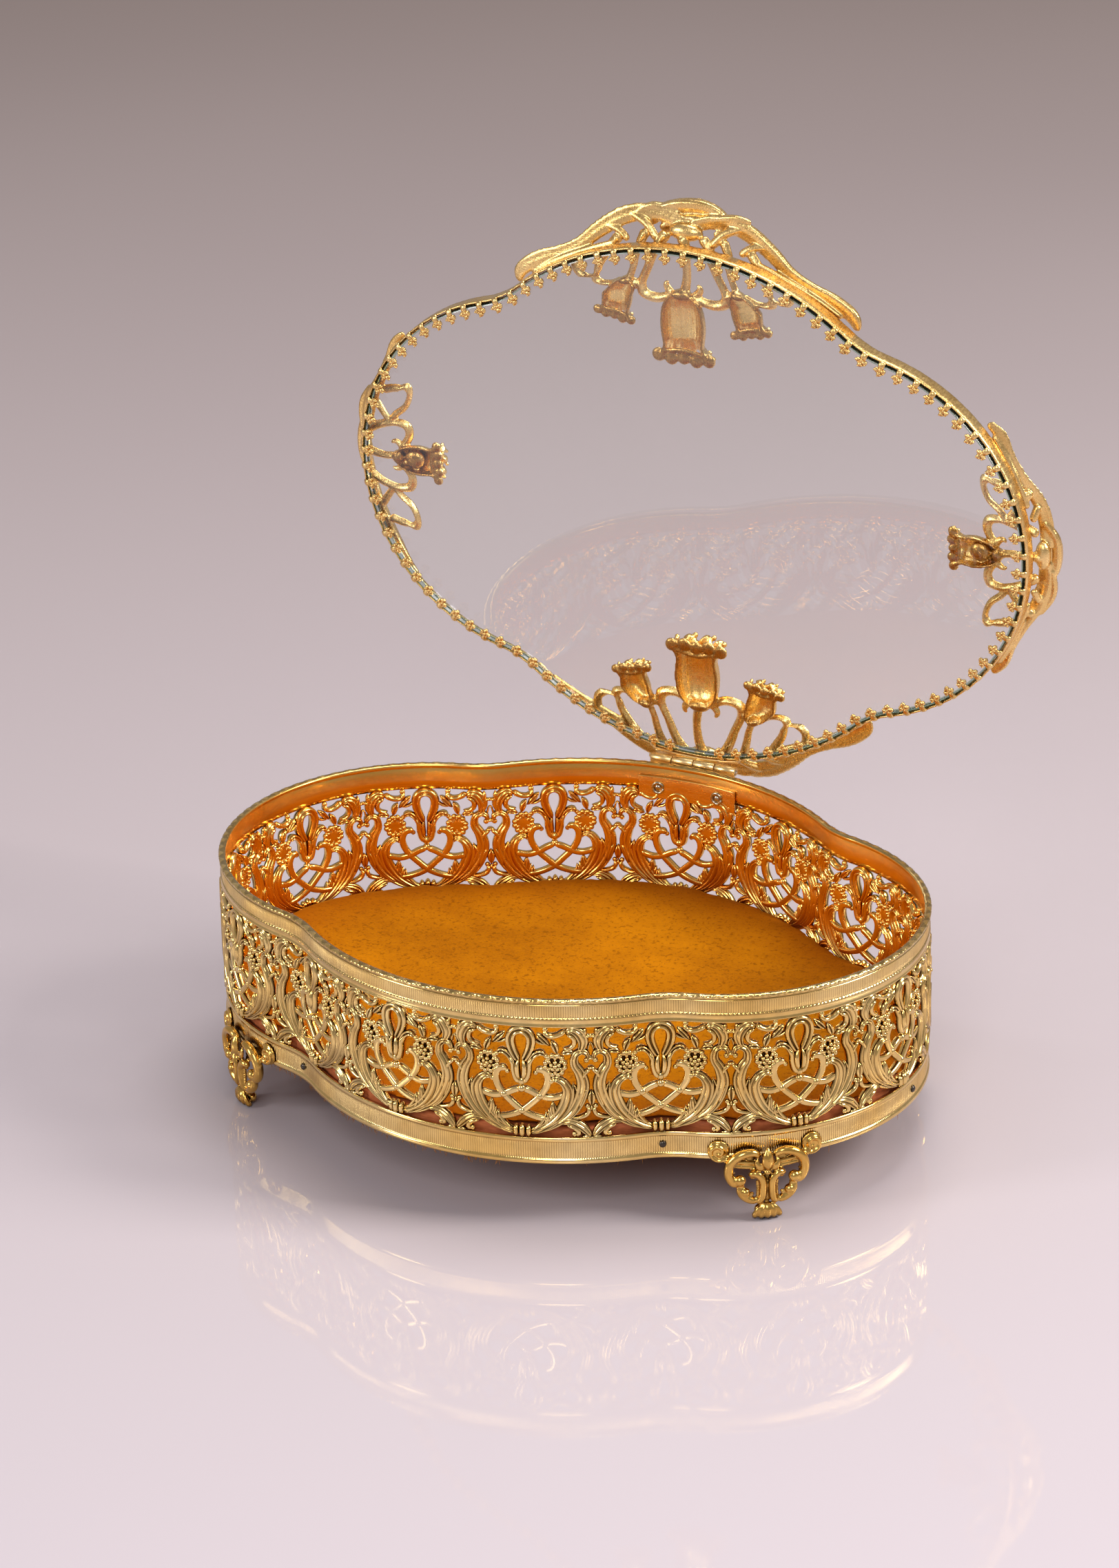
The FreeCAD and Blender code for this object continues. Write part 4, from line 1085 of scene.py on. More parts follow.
def stamped_metal(name, bright, deep, patina, roughness, reach, open_at):
    """Gold plate with dark patina where the relief is low or narrow."""
    m = Nodes(name)
    open_air = m.crevice(reach)
    proud = m.add("ShaderNodeAttribute", attribute_name="proud").outputs["Fac"]
    clean = m.math("MULTIPLY", m.ramp(open_air, 0.25, open_at, 0.06, 1.0), m.ramp(proud, 0.25, 0.72))
    mottle = m.noise(260.0, 5.0)
    clean = m.math("MULTIPLY", clean, m.ramp(mottle, 0.3, 0.6, 0.82, 1.0))
    plate = m.mix(m.ramp(m.noise(45.0, 3.0), 0.35, 0.65), bright, deep)
    colour = m.mix(clean, patina, plate)
    m.set(Base_Color=colour, Metallic=1.0)
    worn = m.math("ADD", m.noise(700.0, 3.0), m.math("MULTIPLY", clean, -0.35))
    m.set(Roughness=m.ramp(worn, 0.0, 0.7, roughness - 0.06, roughness + 0.22))
    m.set(Normal=m.bump(m.noise(1500.0, 3.0), 0.25, 0.00003))
    return m.material


def inner_gold_with_painted_reflection():
    """Smooth orange-gold inside of the wall; its orange is partly the plate's own deeper gold and partly a
    painted reflection of the velvet.
    """
    m = Nodes("inner_plate_and_painted_reflection")
    clean = m.ramp(m.crevice(0.0012), 0.2, 0.7)
    # Painted reflection: these orange colours stand partly for the velvet mirrored in the plate, partly for
    # its own deeper gold.
    plate = m.mix(m.ramp(m.noise(38.0, 3.0), 0.35, 0.65), (0.94, 0.58, 0.165, 1), (0.88, 0.49, 0.11, 1))
    m.set(Base_Color=m.mix(clean, (0.50, 0.19, 0.025, 1), plate), Metallic=1.0)
    m.set(Roughness=m.ramp(m.noise(90.0, 3.0), 0.3, 0.7, 0.15, 0.24))
    m.set(Normal=m.bump(m.noise(900.0, 2.0), 0.12, 0.00002))
    return m.material


def brushed_gold(name, bright, deep, dark):
    """Florentine finish: fine scratches in two crossing directions over a satin casting."""
    m = Nodes(name)
    one = m.noise(2600.0, 3.0, 0.65, (1.0, 0.2, 0.22))
    two = m.noise(2600.0, 3.0, 0.65, (0.22, 0.3, 1.0))
    grain = m.math("ADD", m.math("MULTIPLY", one, 0.5), m.math("MULTIPLY", two, 0.5))
    clean = m.ramp(m.crevice(0.0022), 0.15, 0.7)
    tone = m.math("ADD", m.math("MULTIPLY", m.noise(70.0, 3.0), 0.5), m.math("MULTIPLY", grain, 0.5))
    plate = m.mix(m.ramp(tone, 0.38, 0.62), deep, bright)
    m.set(Base_Color=m.mix(clean, dark, plate), Metallic=1.0)
    m.set(Roughness=m.ramp(grain, 0.35, 0.65, 0.18, 0.36))
    m.set(Normal=m.bump(grain, 0.7, 0.00017))
    return m.material


def plain_metal(name, colour, other, roughness):
    """Drawn metal with fine lines along it."""
    m = Nodes(name)
    lines = m.noise(1400.0, 3.0, 0.6, (0.04, 1.0, 1.0))
    m.set(Base_Color=m.mix(m.ramp(m.noise(120.0, 4.0), 0.35, 0.65), colour, other), Metallic=1.0)
    m.set(Roughness=m.ramp(lines, 0.3, 0.7, roughness - 0.07, roughness + 0.1))
    m.set(Normal=m.bump(lines, 0.2, 0.00004))
    return m.material


def velvet_cloth(name, bright, deep, edge):
    """Short-pile velvet: brushed nap in soft clouds, pile grain, dark specks, painted shade near the walls,
    and a sheen at its edges that is partly painted into the colour.
    """
    m = Nodes(name)
    nap = m.noise(26.0, 5.0, 0.6, (1.0, 1.3, 1.0))
    pile = m.noise(1900.0, 2.0)
    specks = m.noise(760.0, 3.0, 0.7)
    tone = m.math("ADD", m.math("MULTIPLY", nap, 0.7), m.math("MULTIPLY", pile, 0.3))
    colour = m.mix(m.ramp(tone, 0.36, 0.64), deep, bright)
    speck, shade = (deep[0] * 0.5, deep[1] * 0.45, deep[2], 1), (deep[0] * 0.9, deep[1] * 0.6, deep[2], 1)
    colour = m.mix(m.ramp(specks, 0.54, 0.64, 0.0, 0.6), colour, speck)
    # Painted shade: the cloth is darker where the wall and other close parts hem it in, standing in for the
    # wall's shadow.
    colour = m.mix(m.ramp(m.crevice(0.035), 0.4, 0.95, 0.75, 0.0), colour, shade)
    # Painted sheen: the edge colour is mixed into the base colour where the surface turns away from view,
    # besides the shader's own sheen.
    facing = m.add("ShaderNodeLayerWeight", {"Blend": 0.35}).outputs["Facing"]
    colour = m.mix(m.ramp(facing, 0.55, 1.0, 0.0, 0.45), colour, edge)
    m.set(Base_Color=colour, Roughness=m.ramp(pile, 0.3, 0.7, 0.75, 0.95))
    m.set(Sheen_Weight=0.25, Sheen_Roughness=0.4, Sheen_Tint=edge)
    m.shader.inputs["Specular IOR Level"].default_value = 0.05
    m.set(Normal=m.bump(m.math("ADD", pile, m.math("MULTIPLY", specks, 0.6)), 0.5, 0.00025))
    return m.material


def rough_solid(name, bright, deep, scale, roughness):
    """Card or fibre board."""
    m = Nodes(name)
    fibres = m.noise(scale, 6.0, 0.65, (1.0, 1.0, 6.0))
    m.set(Base_Color=m.mix(m.ramp(fibres, 0.35, 0.65), deep, bright))
    m.set(Roughness=m.ramp(fibres, 0.3, 0.7, roughness - 0.1, roughness))
    m.set(Normal=m.bump(fibres, 0.4, 0.0002))
    return m.material


def pane_glass(name, tint, roughness=0.0, see_through=0.9, clear=1.0):
    """Clear plate glass that lets lamplight through."""
    m = Nodes(name)
    smear = m.noise(22.0, 4.0, 0.6)
    smeared = (tint[0] * 0.985, tint[1] * 0.99, tint[2] * 0.985, 1)
    m.set(Base_Color=m.mix(m.ramp(smear, 0.3, 0.7), tint, smeared))
    m.set(Roughness=m.ramp(smear, 0.55, 0.8, roughness, roughness + 0.015))
    m.set(Transmission_Weight=clear, IOR=1.5)
    passed = tuple(part * see_through for part in tint[:3]) + (1,)
    lamps = m.add("ShaderNodeBsdfTransparent", {"Color": passed})
    path = m.add("ShaderNodeLightPath")
    mixer = m.add("ShaderNodeMixShader", {
        0: path.outputs["Is Shadow Ray"], 1: m.shader.outputs[0], 2: lamps.outputs[0],
    })
    m.feed(m.output.inputs["Surface"], mixer.outputs[0])
    return m.material


ANTIQUE = stamped_metal(
    "antique_brass", (0.93, 0.69, 0.29, 1), (0.84, 0.55, 0.17, 1), (0.05, 0.022, 0.006, 1),
    0.13, 0.0010, 0.76)
# Inside finish: the plate's own deeper gold plus a painted reflection of the velvet.
INNER_PLATE_AND_REFLECTION = inner_gold_with_painted_reflection()
CAST = stamped_metal(
    "cast_gold", (0.83, 0.52, 0.14, 1), (0.70, 0.38, 0.075, 1), (0.07, 0.03, 0.006, 1),
    0.17, 0.0030, 0.82)
FLORENTINE = brushed_gold(
    "florentine_gold", (0.92, 0.65, 0.28, 1), (0.76, 0.48, 0.16, 1), (0.38, 0.20, 0.06, 1))
HINGE_METAL = plain_metal("hinge_brass", (0.92, 0.68, 0.34, 1), (0.86, 0.58, 0.24, 1), 0.28)
BACKING_METAL = plain_metal("backing_gold", (0.96, 0.60, 0.20, 1), (0.90, 0.52, 0.14, 1), 0.24)
STEEL = plain_metal("eyelet_steel", (0.62, 0.56, 0.46, 1), (0.40, 0.35, 0.28, 1), 0.22)
BRAD_STEEL = plain_metal("blued_steel", (0.10, 0.085, 0.07, 1), (0.05, 0.04, 0.035, 1), 0.28)
VELVET = velvet_cloth(
    "velvet_gold", (0.47, 0.162, 0.0008, 1), (0.27, 0.082, 0.0004, 1), (0.48, 0.19, 0.005, 1))
FELT = velvet_cloth("felt_gold", (0.55, 0.25, 0.02, 1), (0.36, 0.15, 0.01, 1), (0.8, 0.5, 0.2, 1))
CARD = rough_solid("card_peach", (0.52, 0.15, 0.045, 1), (0.33, 0.08, 0.02, 1), 220.0, 0.85)
BOARD = rough_solid("board_wood", (0.32, 0.20, 0.11, 1), (0.22, 0.13, 0.07, 1), 140.0, 0.9)
GLASS = pane_glass("glass_clear", (0.985, 1.0, 0.992, 1))
GLASS_EDGE = pane_glass("glass_edge_green", (0.26, 0.44, 0.33, 1), 0.12, 0.6, 0.95)


# ------------------------------------------------------------------ assembly

def two_sided(item, inner, limit):
    """Gives the faces that look inwards, with an outward share below the limit, the inner finish, whose
    orange is partly a painted reflection of the velvet.
    """
    mesh = item.data
    mesh.materials.append(inner)
    centres = np.zeros(len(mesh.polygons) * 3)
    normals = np.zeros(len(mesh.polygons) * 3)
    mesh.polygons.foreach_get("center", centres)
    mesh.polygons.foreach_get("normal", normals)
    centres = centres.reshape(-1, 3)[:, :2] - np.array([0, CENTRE_Y * MM])
    normals = normals.reshape(-1, 3)[:, :2]
    nearest = ((centres[:, None, :] / MM - OUTLINE_P[None, ::12, :]) ** 2).sum(axis=2).argmin(axis=1)
    outward = OUTLINE_N[::12][nearest]
    inside = (normals * outward).sum(axis=1) < limit
    mesh.polygons.foreach_set("material_index", inside.astype(np.int32))


def wall_piece(name, shape, replaced, limit=0.0):
    """Piece of the wall: antique brass outside and the warm plate inside, whose orange is partly a painted
    reflection of the velvet.
    """
    item = make_object(name, shape, "base", "antique_brass", ANTIQUE, (replaced,))
    two_sided(item, INNER_PLATE_AND_REFLECTION, limit)


UNIT = filigree_unit()
FILIGREE_PIECES = 5
for piece in range(FILIGREE_PIECES):
    run = Relief()
    for index in range(piece * UNITS // FILIGREE_PIECES, (piece + 1) * UNITS // FILIGREE_PIECES):
        run.append(UNIT, unit_to_wall(index))
    wall_piece(f"filigree_{piece + 1}", run, "gallery_wall")
wall_piece("lower_band", lower_band(), "gallery_wall")
wall_piece("upper_band", upper_band(), "gallery_wall")
wall_piece("rolled_rim", rim_trim(), "rim_trim", -0.6)

FOOT_SPACING = 85.2
FOOT_SPOTS = {
    "foot_front_right": FOOT_SPACING, "foot_back_right": LENGTH / 2 - FOOT_SPACING,
    "foot_back_left": LENGTH / 2 + FOOT_SPACING, "foot_front_left": LENGTH - FOOT_SPACING,
}
foot_cast = voxel_cast(foot_shape(), 0.24)
for name, spot in FOOT_SPOTS.items():
    make_object(name + "_cast", foot_cast.changed(moved_along(spot)), "base", "cast_gold", CAST, (name,))

PAD_GAP = 1.15


def velvet_pad():
    """Crowned pad, its edge tucked down beside the wall."""
    rings, around = 46, 420
    s = np.linspace(0, LENGTH, around, endpoint=False)
    place, normal = along(s)
    points = []
    for ring in range(rings):
        t = ring / (rings - 1)
        scale = math.sin(t * math.pi / 2) ** 0.9
        xy = (place - normal * PAD_GAP) * scale
        drop = 1.3 * t ** 14
        puff = 0.5 * (1 - t ** 2.2)
        tuck = 0.22 * t ** 6 * np.sin(s * 0.34) * np.sin(s * 0.11 + 0.5)
        z = VELVET_TOP - 0.35 + puff - drop + tuck
        x, y = xy.T
        wave = 0.10 * np.sin(x * 0.07 + 1.1) * np.sin(y * 0.09) + 0.05 * np.sin(x * 0.21 - y * 0.13)
        points.append(np.column_stack([xy, z + wave]))
    points = np.vstack(points)
    faces = grid_faces(rings, around, close_columns=True)[:, ::-1]
    low = wrap(np.column_stack([s, np.full(around, -1.6), np.full(around, VELVET_LOW[2] + 0.5)]))
    base = (rings - 1) * around
    n = len(points)
    c = np.arange(around)
    after = (c + 1) % around
    wall = np.column_stack([base + c, n + c, n + after, base + after])
    centre = np.array([[0.0, 0.0, VELVET_LOW[2]]])
    under = np.column_stack([np.full(around, n + around), n + after, n + c])
    pad = Relief()
    pad.put((np.vstack([points, low, centre]), np.vstack([faces, wall]), under, np.ones(n + around + 1)))
    return pad


def welded(item, distance):
    """Joins points that lie on each other."""
    work = bmesh.new()
    work.from_mesh(item.data)
    bmesh.ops.remove_doubles(work, verts=work.verts, dist=distance)
    bmesh.ops.recalc_face_normals(work, faces=work.faces)
    work.to_mesh(item.data)
    work.free()


PAD_VOXEL = 0.002
PAD_CAP = 0.0006
SETTLE_FRAMES = 20


def evaluated(item):
    """The item with its modifiers applied."""
    return item.evaluated_get(bpy.context.evaluated_depsgraph_get())


def plumped(item):
    """Lets a pad's cover settle under a little pressure, glued down underneath.

    No point moves further than PAD_CAP.
    """
    work = bpy.data.objects.new(item.name + "_work", item.data.copy())
    bpy.context.scene.collection.objects.link(work)
    remesh = work.modifiers.new("remesh", "REMESH")
    remesh.mode = "VOXEL"
    remesh.voxel_size = PAD_VOXEL
    soften = work.modifiers.new("soften", "SMOOTH")
    soften.iterations = 2
    even = bpy.data.meshes.new_from_object(evaluated(work))
    work.modifiers.clear()
    work.data = even
    start = np.array([v.co for v in even.vertices])
    glued = work.vertex_groups.new(name="glued")
    under = np.flatnonzero(start[:, 2] < (VELVET_LOW[2] + 1.0) * MM)
    glued.add([int(i) for i in under], 1.0, "REPLACE")
    cloth = work.modifiers.new("cloth", "CLOTH")
    cloth.settings.quality = 4
    cloth.settings.vertex_group_mass = "glued"
    cloth.settings.use_pressure = True
    cloth.settings.uniform_pressure_force = 4.0
    cloth.settings.shrink_min = -0.015
    cloth.settings.effector_weights.gravity = 0.0
    for step in range(1, SETTLE_FRAMES + 1):
        bpy.context.scene.frame_set(step)
    done = evaluated(work).to_mesh()
    move = np.array([v.co for v in done.vertices]) - start
    work.to_mesh_clear()
    bpy.context.scene.frame_set(1)
    size = np.linalg.norm(move, axis=1, keepdims=True)
    moved = start + move * np.minimum(1.0, PAD_CAP / np.maximum(size, 1e-9))
    even.vertices.foreach_set("co", moved.astype(np.float32).ravel())
    work.modifiers.clear()
    finer = work.modifiers.new("finer", "SUBSURF")
    finer.levels = 1
    skin = bpy.data.meshes.new_from_object(evaluated(work))
    bpy.data.objects.remove(work)
    skin.materials.clear()
    skin.materials.append(item.data.materials[0])
    skin.polygons.foreach_set("use_smooth", [True] * len(skin.polygons))
    item.data = skin


pad = make_object("velvet_cushion", velvet_pad(), "base", "velvet_gold", VELVET, ("velvet_pad",))
welded(pad, 0.00001)
plumped(pad)

FELT_EDGE = 1.45  # distance of the cloth's edge from the outline
FELT_THICK = 0.7
FELT_LEVEL = FELT_TOP - 0.1  # upper side of the flat cloth


def underside_sheet():
    """Thin cloth stretched over the underside of the board."""
    rings, around = 24, 480
    s = np.linspace(0, LENGTH, around, endpoint=False)
    place, normal = along(s)
    edge = place - normal * FELT_EDGE
    levels = []
    for ring in range(1, rings + 1):
        xy = edge * (ring / rings) ** 0.8
        x, y = xy.T
        ripple = 0.10 * np.sin(x * 0.31) * np.sin(y * 0.27 + 0.6) + 0.05 * np.sin(x * 0.9 + y * 0.5)
        levels.append(np.column_stack([xy, FELT_LEVEL - FELT_THICK + ripple]))
    low = np.vstack(levels)
    high = low + np.array([0, 0, FELT_THICK])
    high[:, 2] = np.minimum(high[:, 2], FELT_TOP)
    count = len(low)
    centre = np.array([[0, 0, FELT_LEVEL - FELT_THICK], [0, 0, FELT_LEVEL]])
    skin = grid_faces(rings, around, close_columns=True)
    c = np.arange(around)
    nxt = (c + 1) % around
    last = (rings - 1) * around
    hem = np.column_stack([last + c, last + nxt, count + last + nxt, count + last + c])
    fans = np.vstack([
        np.column_stack([np.full(around, 2 * count), nxt, c]),
        np.column_stack([np.full(around, 2 * count + 1), count + c, count + nxt]),
    ])
    sheet = Relief()
    quads = np.vstack([skin[:, ::-1], skin + count, hem])
    sheet.put((np.vstack([low, high, centre]), quads, fans, np.ones(2 * count + 2)))
    return sheet


FIBRES = 170


def frayed_edge():
    """Loose fibres of the cloth that show below the lower band."""
    chance = random.Random(11)
    fibres = Relief()
    for _ in range(FIBRES):
        s = chance.uniform(-75.0, 15.0) if chance.random() < 0.7 else chance.uniform(0.0, LENGTH)
        lean = chance.uniform(-0.9, 0.9)
        drop = chance.uniform(0.8, 2.4)
        out = chance.uniform(-0.5, 0.5)
        thick = chance.uniform(0.09, 0.15)
        strand = [
            (s, -FELT_EDGE - 0.3, 18.5, thick), (s + 0.3 * lean, -1.3, 17.6, thick),
            (s + 0.7 * lean, -1.0 + 0.4 * out, 17.4 - 0.5 * drop, thick),
            (s + 1.4 * lean, -0.9 + out, 17.4 - drop, thick * 0.6),
        ]
        fibres.put(tube(strand, sides=5))
    return fibres.changed(wrap)


felt = make_object("underside_cloth", underside_sheet(), "base", "felt_gold", FELT, ("underside_felt",))
fringe = make_object("underside_fibres", frayed_edge(), "base", "felt_gold", FELT, ())


def padding_edge():
    """Soft edge of the padding under the velvet, showing through the lowest openings."""
    profile = [
        (-8.0, 23.25), (-2.1, 23.25), (-1.9, 24.4), (-1.85, 25.8), (-2.0, 26.5), (-2.8, 26.9), (-8.0, 26.9),
    ]

    def change(s, offset, height):
        soft = 0.12 * np.sin(s * 0.53 + 2 * np.sin(s * 0.17)) + 0.07 * np.sin(s * 1.9)
        near = offset > -3
        pressed = np.where(near, offset - 0.15 + soft, offset)
        return pressed, np.where(near & (height > 26), height + soft, height), np.ones_like(s)
    return strip(profile, 1200, change)


make_object("padding_roll", padding_edge(), "base", "card_peach", CARD, ("padding_card",))
board_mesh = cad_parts["floor_board"].data
board_mesh.materials.clear()
board_mesh.materials.append(BOARD)


BRAD_SPACING = 58.3
BRAD_HEIGHT = 21.4


def brads():
    """Domed steel heads on the lower band."""
    head, shape = Relief(), Relief()
    head.put(blob((0, 0.1, BRAD_HEIGHT), (0.98, 0.62, 0.98), 10, 20))
    for spot in (BRAD_SPACING, LENGTH / 4, LENGTH / 2 - BRAD_SPACING):
        shape.append(head, moved_along(spot))
        shape.append(head, moved_along(spot + LENGTH / 2))
    return shape


make_object("brad_heads", brads(), "base", "eyelet_steel", BRAD_STEEL, ("floor_brads",))


def lathe(profile, sides=36):
    """Solid of revolution about x from (x, radius) pairs; returns points and faces."""
    profile = np.asarray(profile, float)
    a = np.linspace(0, 2 * math.pi, sides, endpoint=False)
    x = np.repeat(profile[:, 0], sides)
    r = np.repeat(profile[:, 1], sides)
    turn = np.tile(a, len(profile))
    points = np.column_stack([x, r * np.cos(turn), r * np.sin(turn)])
    return points, grid_faces(len(profile), sides, close_columns=True)


def rounded_block(name, replaced, low, high, bevel, material=HINGE_METAL, body="base", change=None, cuts=24):
    """Block with soft edges, given in box coordinates or in the coordinates that change takes."""
    work = bmesh.new()
    bmesh.ops.create_cube(work, size=1.0)
    low, high = np.array(low, float), np.array(high, float)
    for v in work.verts:
        v.co = Vector(((low + high) / 2 + (high - low) * np.array(v.co)).tolist())
    bmesh.ops.bevel(work, geom=work.edges[:], offset=bevel, segments=3, profile=0.5, affect="EDGES")
    long_edges = [e for e in work.edges if abs(e.verts[0].co.x - e.verts[1].co.x) > (high[0] - low[0]) * 0.7]
    bmesh.ops.subdivide_edges(work, edges=long_edges, cuts=cuts, use_grid_fill=True)
    points = np.array([v.co for v in work.verts], float)
    work.verts.index_update()
    faces = [[v.index for v in f.verts] for f in work.faces]
    work.free()
    if change:
        points = change(points)
    mesh = bpy.data.meshes.new(name)
    mesh.from_pydata((lid_place if body == "lid" else to_box)(points).tolist(), [], faces)
    mesh.polygons.foreach_set("use_smooth", [True] * len(mesh.polygons))
    mesh.materials.append(material)
    return make_piece(name, mesh, body, "hinge_brass", (replaced,))


def on_back(points):
    """(x, offset, height) on the back wall to box coordinates."""
    return wrap(np.column_stack([LENGTH / 2 - points[:, 0], points[:, 1:]]))


LEAF_HALF = 15.2
LEAF_LOW = 54.6
rounded_block("hinge_inner_plate", "hinge_backing_plate", (-LEAF_HALF, -1.8, LEAF_LOW),
              (LEAF_HALF, -1.02, 61.2), 0.22, BACKING_METAL, change=on_back)
rounded_block("hinge_outer_leaf", "hinge_lower_leaf", (-LEAF_HALF, 0.2, LEAF_LOW), (LEAF_HALF, 1.3, 64.2),
              0.25, change=on_back)
rounded_block("hinge_lid_leaf", "hinge_upper_leaf", (-13.0, 0.55, 66.2), (13.0, 1.3, 70.4),
              0.22, body="lid", change=on_back)

KNUCKLES = 4
LOWER_KNUCKLES = (0, 3)
BARREL_HALF = 13.0
KNUCKLE_GAP = 0.3
KNUCKLE_PITCH = (2 * BARREL_HALF + KNUCKLE_GAP) / KNUCKLES
PIN_RADIUS = 0.55
AXIS = np.array([0, *CLOSED_HINGE])
for index in range(KNUCKLES):
    start = -BARREL_HALF + index * KNUCKLE_PITCH
    end = start + KNUCKLE_PITCH - KNUCKLE_GAP
    barrel = [
        (start + 0.05, 0.62), (start, 0.7), (start, 1.2), (start + 0.15, 1.34), (end - 0.15, 1.34),
        (end, 1.2), (end, 0.7), (end - 0.05, 0.62), (start + 0.05, 0.62),
    ]
    points, quads = lathe(barrel)
    lower = index in LOWER_KNUCKLES
    body, replaced = ("base", "hinge_lower_leaf") if lower else ("lid", "hinge_upper_leaf")
    inner, outer, low, high = (1.3, 0.5, 63.2, 65.0) if lower else (1.0, 0.3, 65.0, 67.2)
    make_object(f"hinge_knuckle_{index + 1}", Relief(points + AXIS, quads), body, "hinge_brass", HINGE_METAL,
                (replaced,))
    rounded_block(f"hinge_web_{index + 1}", replaced, (start, CLOSED_HINGE[0] - inner, low),
                  (end, CLOSED_HINGE[0] - outer, high), 0.15, body=body, cuts=4)

pin_half = [(-BARREL_HALF - 0.15, 0.0), (-BARREL_HALF - 0.15, 0.35), (-BARREL_HALF, PIN_RADIUS)]
points, quads = lathe(pin_half + [(-x, radius) for x, radius in pin_half[::-1]], 24)
make_object("hinge_steel_pin", Relief(points + AXIS, quads), "base", "eyelet_steel", STEEL, ("hinge_pin",))

EYELET_SPOT = 9.3
EYELET_HEIGHT = 57.9
EYELET_RADIUS = 1.55
rings, rolls, domes = Relief(), Relief(), Relief()
for x in (-EYELET_SPOT, EYELET_SPOT):
    circle = []
    for angle in [k / 48 * 2 * math.pi for k in range(48)] + [0.0]:
        across, rise = EYELET_RADIUS * math.cos(angle), EYELET_RADIUS * math.sin(angle)
        circle.append((x + across, -2.05, EYELET_HEIGHT + rise, 0.85))
    rolls.put(tube(circle, 0.8))
    domes.put(blob((x, -1.95, EYELET_HEIGHT), (0.95, 0.4, 0.95), 8, 20))
    rings.put(blob((x, 1.5, EYELET_HEIGHT), (1.8, 0.35, 1.8), 8, 20))
for name, shape, slot, material in (
    ("eyelet_rings", rings, "hinge_brass", HINGE_METAL), ("eyelet_rolls", rolls, "eyelet_steel", STEEL),
    ("eyelet_domes", domes, "eyelet_steel", STEEL),
):
    make_object(name, shape.changed(on_back), "base", slot, material, ("hinge_eyelets",))

pane = make_piece("lid_pane", lid_glass(), "lid", "glass_clear", ("lid_glass",))
welded(pane, 0.0000005)
make_object("lid_rim_band", lid_band(), "lid", "florentine_gold", FLORENTINE, ("lid_band",), lid_place)
make_object("lid_prongs", prongs(), "lid", "florentine_gold", FLORENTINE, ("prong_gallery",), lid_place)

long_cast = voxel_cast(long_mount(), 0.3)
side_cast = voxel_cast(side_mount(), 0.3)
for name, distance, cast in (
    ("mount_front", 0.0, long_cast), ("mount_right", LENGTH / 4, side_cast),
    ("mount_back", LENGTH / 2, long_cast), ("mount_left", LENGTH * 0.75, side_cast),
):
    placed = cast.changed(lambda points, distance=distance: mount_place(points, distance))
    make_object(name + "_tulips", placed, "lid", "florentine_gold", FLORENTINE, (name,), lid_place)


# ------------------------------------------------------------------ floor, light and camera

def floor_material():
    """Pale glossy table with painted shade: it grows warmer and darker towards the back left, standing in for
    the light falling off and the shadow on the left.
    """
    m = Nodes("studio_sweep")
    spot = m.add("ShaderNodeSeparateXYZ", {"Vector": m.where()})
    # Painted shade: darker and warmer towards the back left.
    behind = m.math("MULTIPLY", spot.outputs["Y"], 0.893)
    shade = m.ramp(m.math("ADD", behind, m.math("MULTIPLY", spot.outputs["X"], -0.451)), -0.25, 1.2)
    cloud = m.noise(1.4, 2.0)
    colour = m.mix(shade, (0.485, 0.437, 0.482, 1), (0.19, 0.139, 0.119, 1))
    colour = m.mix(m.ramp(cloud, 0.3, 0.7, 0.0, 0.06), colour, (0.70, 0.62, 0.60, 1))
    m.set(Base_Color=colour, Roughness=m.ramp(m.noise(14.0, 3.0), 0.3, 0.7, 0.02, 0.045))
    m.shader.inputs["Specular IOR Level"].default_value = 0.22
    return m.material


sweep_mesh = bpy.data.meshes.new("sweep")
sweep_mesh.from_pydata([(-6, -6, 0), (6, -6, 0), (6, 6, 0), (-6, 6, 0)], [], [(0, 1, 2, 3)])
sweep_mesh.materials.append(floor_material())
sweep = bpy.data.objects.new("sweep", sweep_mesh)
bpy.context.scene.collection.objects.link(sweep)

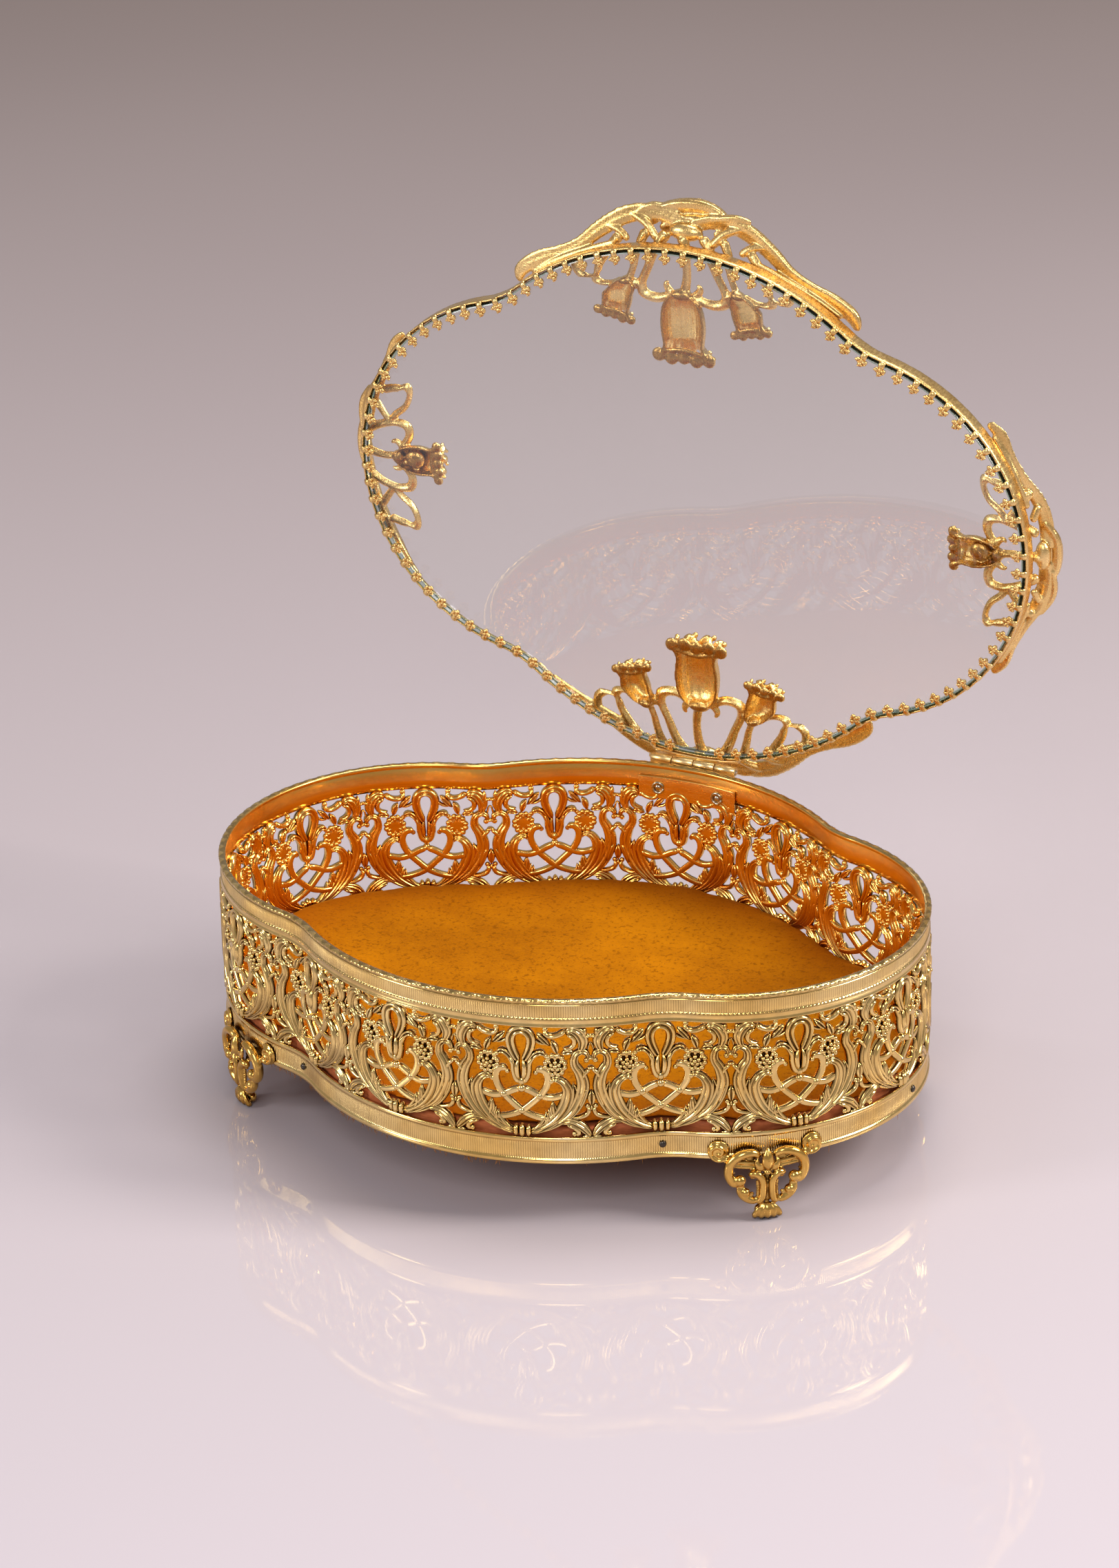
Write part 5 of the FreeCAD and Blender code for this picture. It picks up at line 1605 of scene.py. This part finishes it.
# The camera's direction in radians, and its place in mm: to the right, upwards and towards the viewer.
AZIMUTH, ELEVATION, ROLL = 0.4684, 0.4261, -0.020
CAMERA_SPOT = (-4.14, 83.11, 1534.9)
LENS = 128.94
SENSOR_HEIGHT = 36.0
flat_toward = Vector((math.sin(AZIMUTH), -math.cos(AZIMUTH), 0))
right = Vector((math.cos(AZIMUTH), math.sin(AZIMUTH), 0))
up = Vector((0, 0, math.cos(ELEVATION))) - flat_toward * math.sin(ELEVATION)
toward = Vector((0, 0, math.sin(ELEVATION))) + flat_toward * math.cos(ELEVATION)
turn = Matrix.Rotation(ROLL, 3, toward)
right, up = turn @ right, turn @ up
camera_data = bpy.data.cameras.new("camera")
camera_data.sensor_fit = "VERTICAL"
camera_data.sensor_height = SENSOR_HEIGHT
camera_data.lens = LENS
camera_data.clip_start = 0.05
camera_data.clip_end = 30.0
camera = bpy.data.objects.new("camera", camera_data)
bpy.context.scene.collection.objects.link(camera)
axes = Matrix((right, up, toward)).transposed()
place = axes @ Vector(CAMERA_SPOT) + Vector((0, CENTRE_Y, 0))
camera.matrix_world = Matrix.Translation(place * MM) @ axes.to_4x4()
bpy.context.scene.camera = camera


def lamp(name, place, aim, size, power, colour):
    """Soft box at a place, turned to what it aims at."""
    data = bpy.data.lights.new(name, "AREA")
    data.shape = "RECTANGLE"
    data.size, data.size_y = size
    data.energy = power
    data.color = colour
    item = bpy.data.objects.new(name, data)
    bpy.context.scene.collection.objects.link(item)
    item.location = place
    item.rotation_euler = (Vector(aim) - Vector(place)).to_track_quat("-Z", "Y").to_euler()


lamp("key", (1.15, 0.35, 0.95), (0, 0, 0.06), (0.45, 0.65), 22.0, (1.0, 0.95, 0.88))
lamp("front_soft", (0.5, -1.5, 1.3), (0, 0, 0.05), (0.5, 0.9), 11.5, (1.0, 0.97, 0.94))
lamp("left_soft", (-1.25, -1.25, 0.75), (0, 0, 0.06), (0.45, 0.7), 12.0, (1.0, 0.98, 0.96))
lamp("top_soft", (0.0, 0.5, 1.9), (0, 0, 0), (0.9, 0.9), 21.0, (1.0, 0.97, 0.95))
world = bpy.data.worlds.new("studio")
world.use_nodes = True
backdrop = world.node_tree.nodes["Background"]
backdrop.inputs["Color"].default_value = (0.80, 0.76, 0.78, 1)
backdrop.inputs["Strength"].default_value = 0.44
bpy.context.scene.world = world
bpy.context.scene.view_settings.view_transform = "Standard"
bpy.context.scene.view_settings.exposure = 0.0
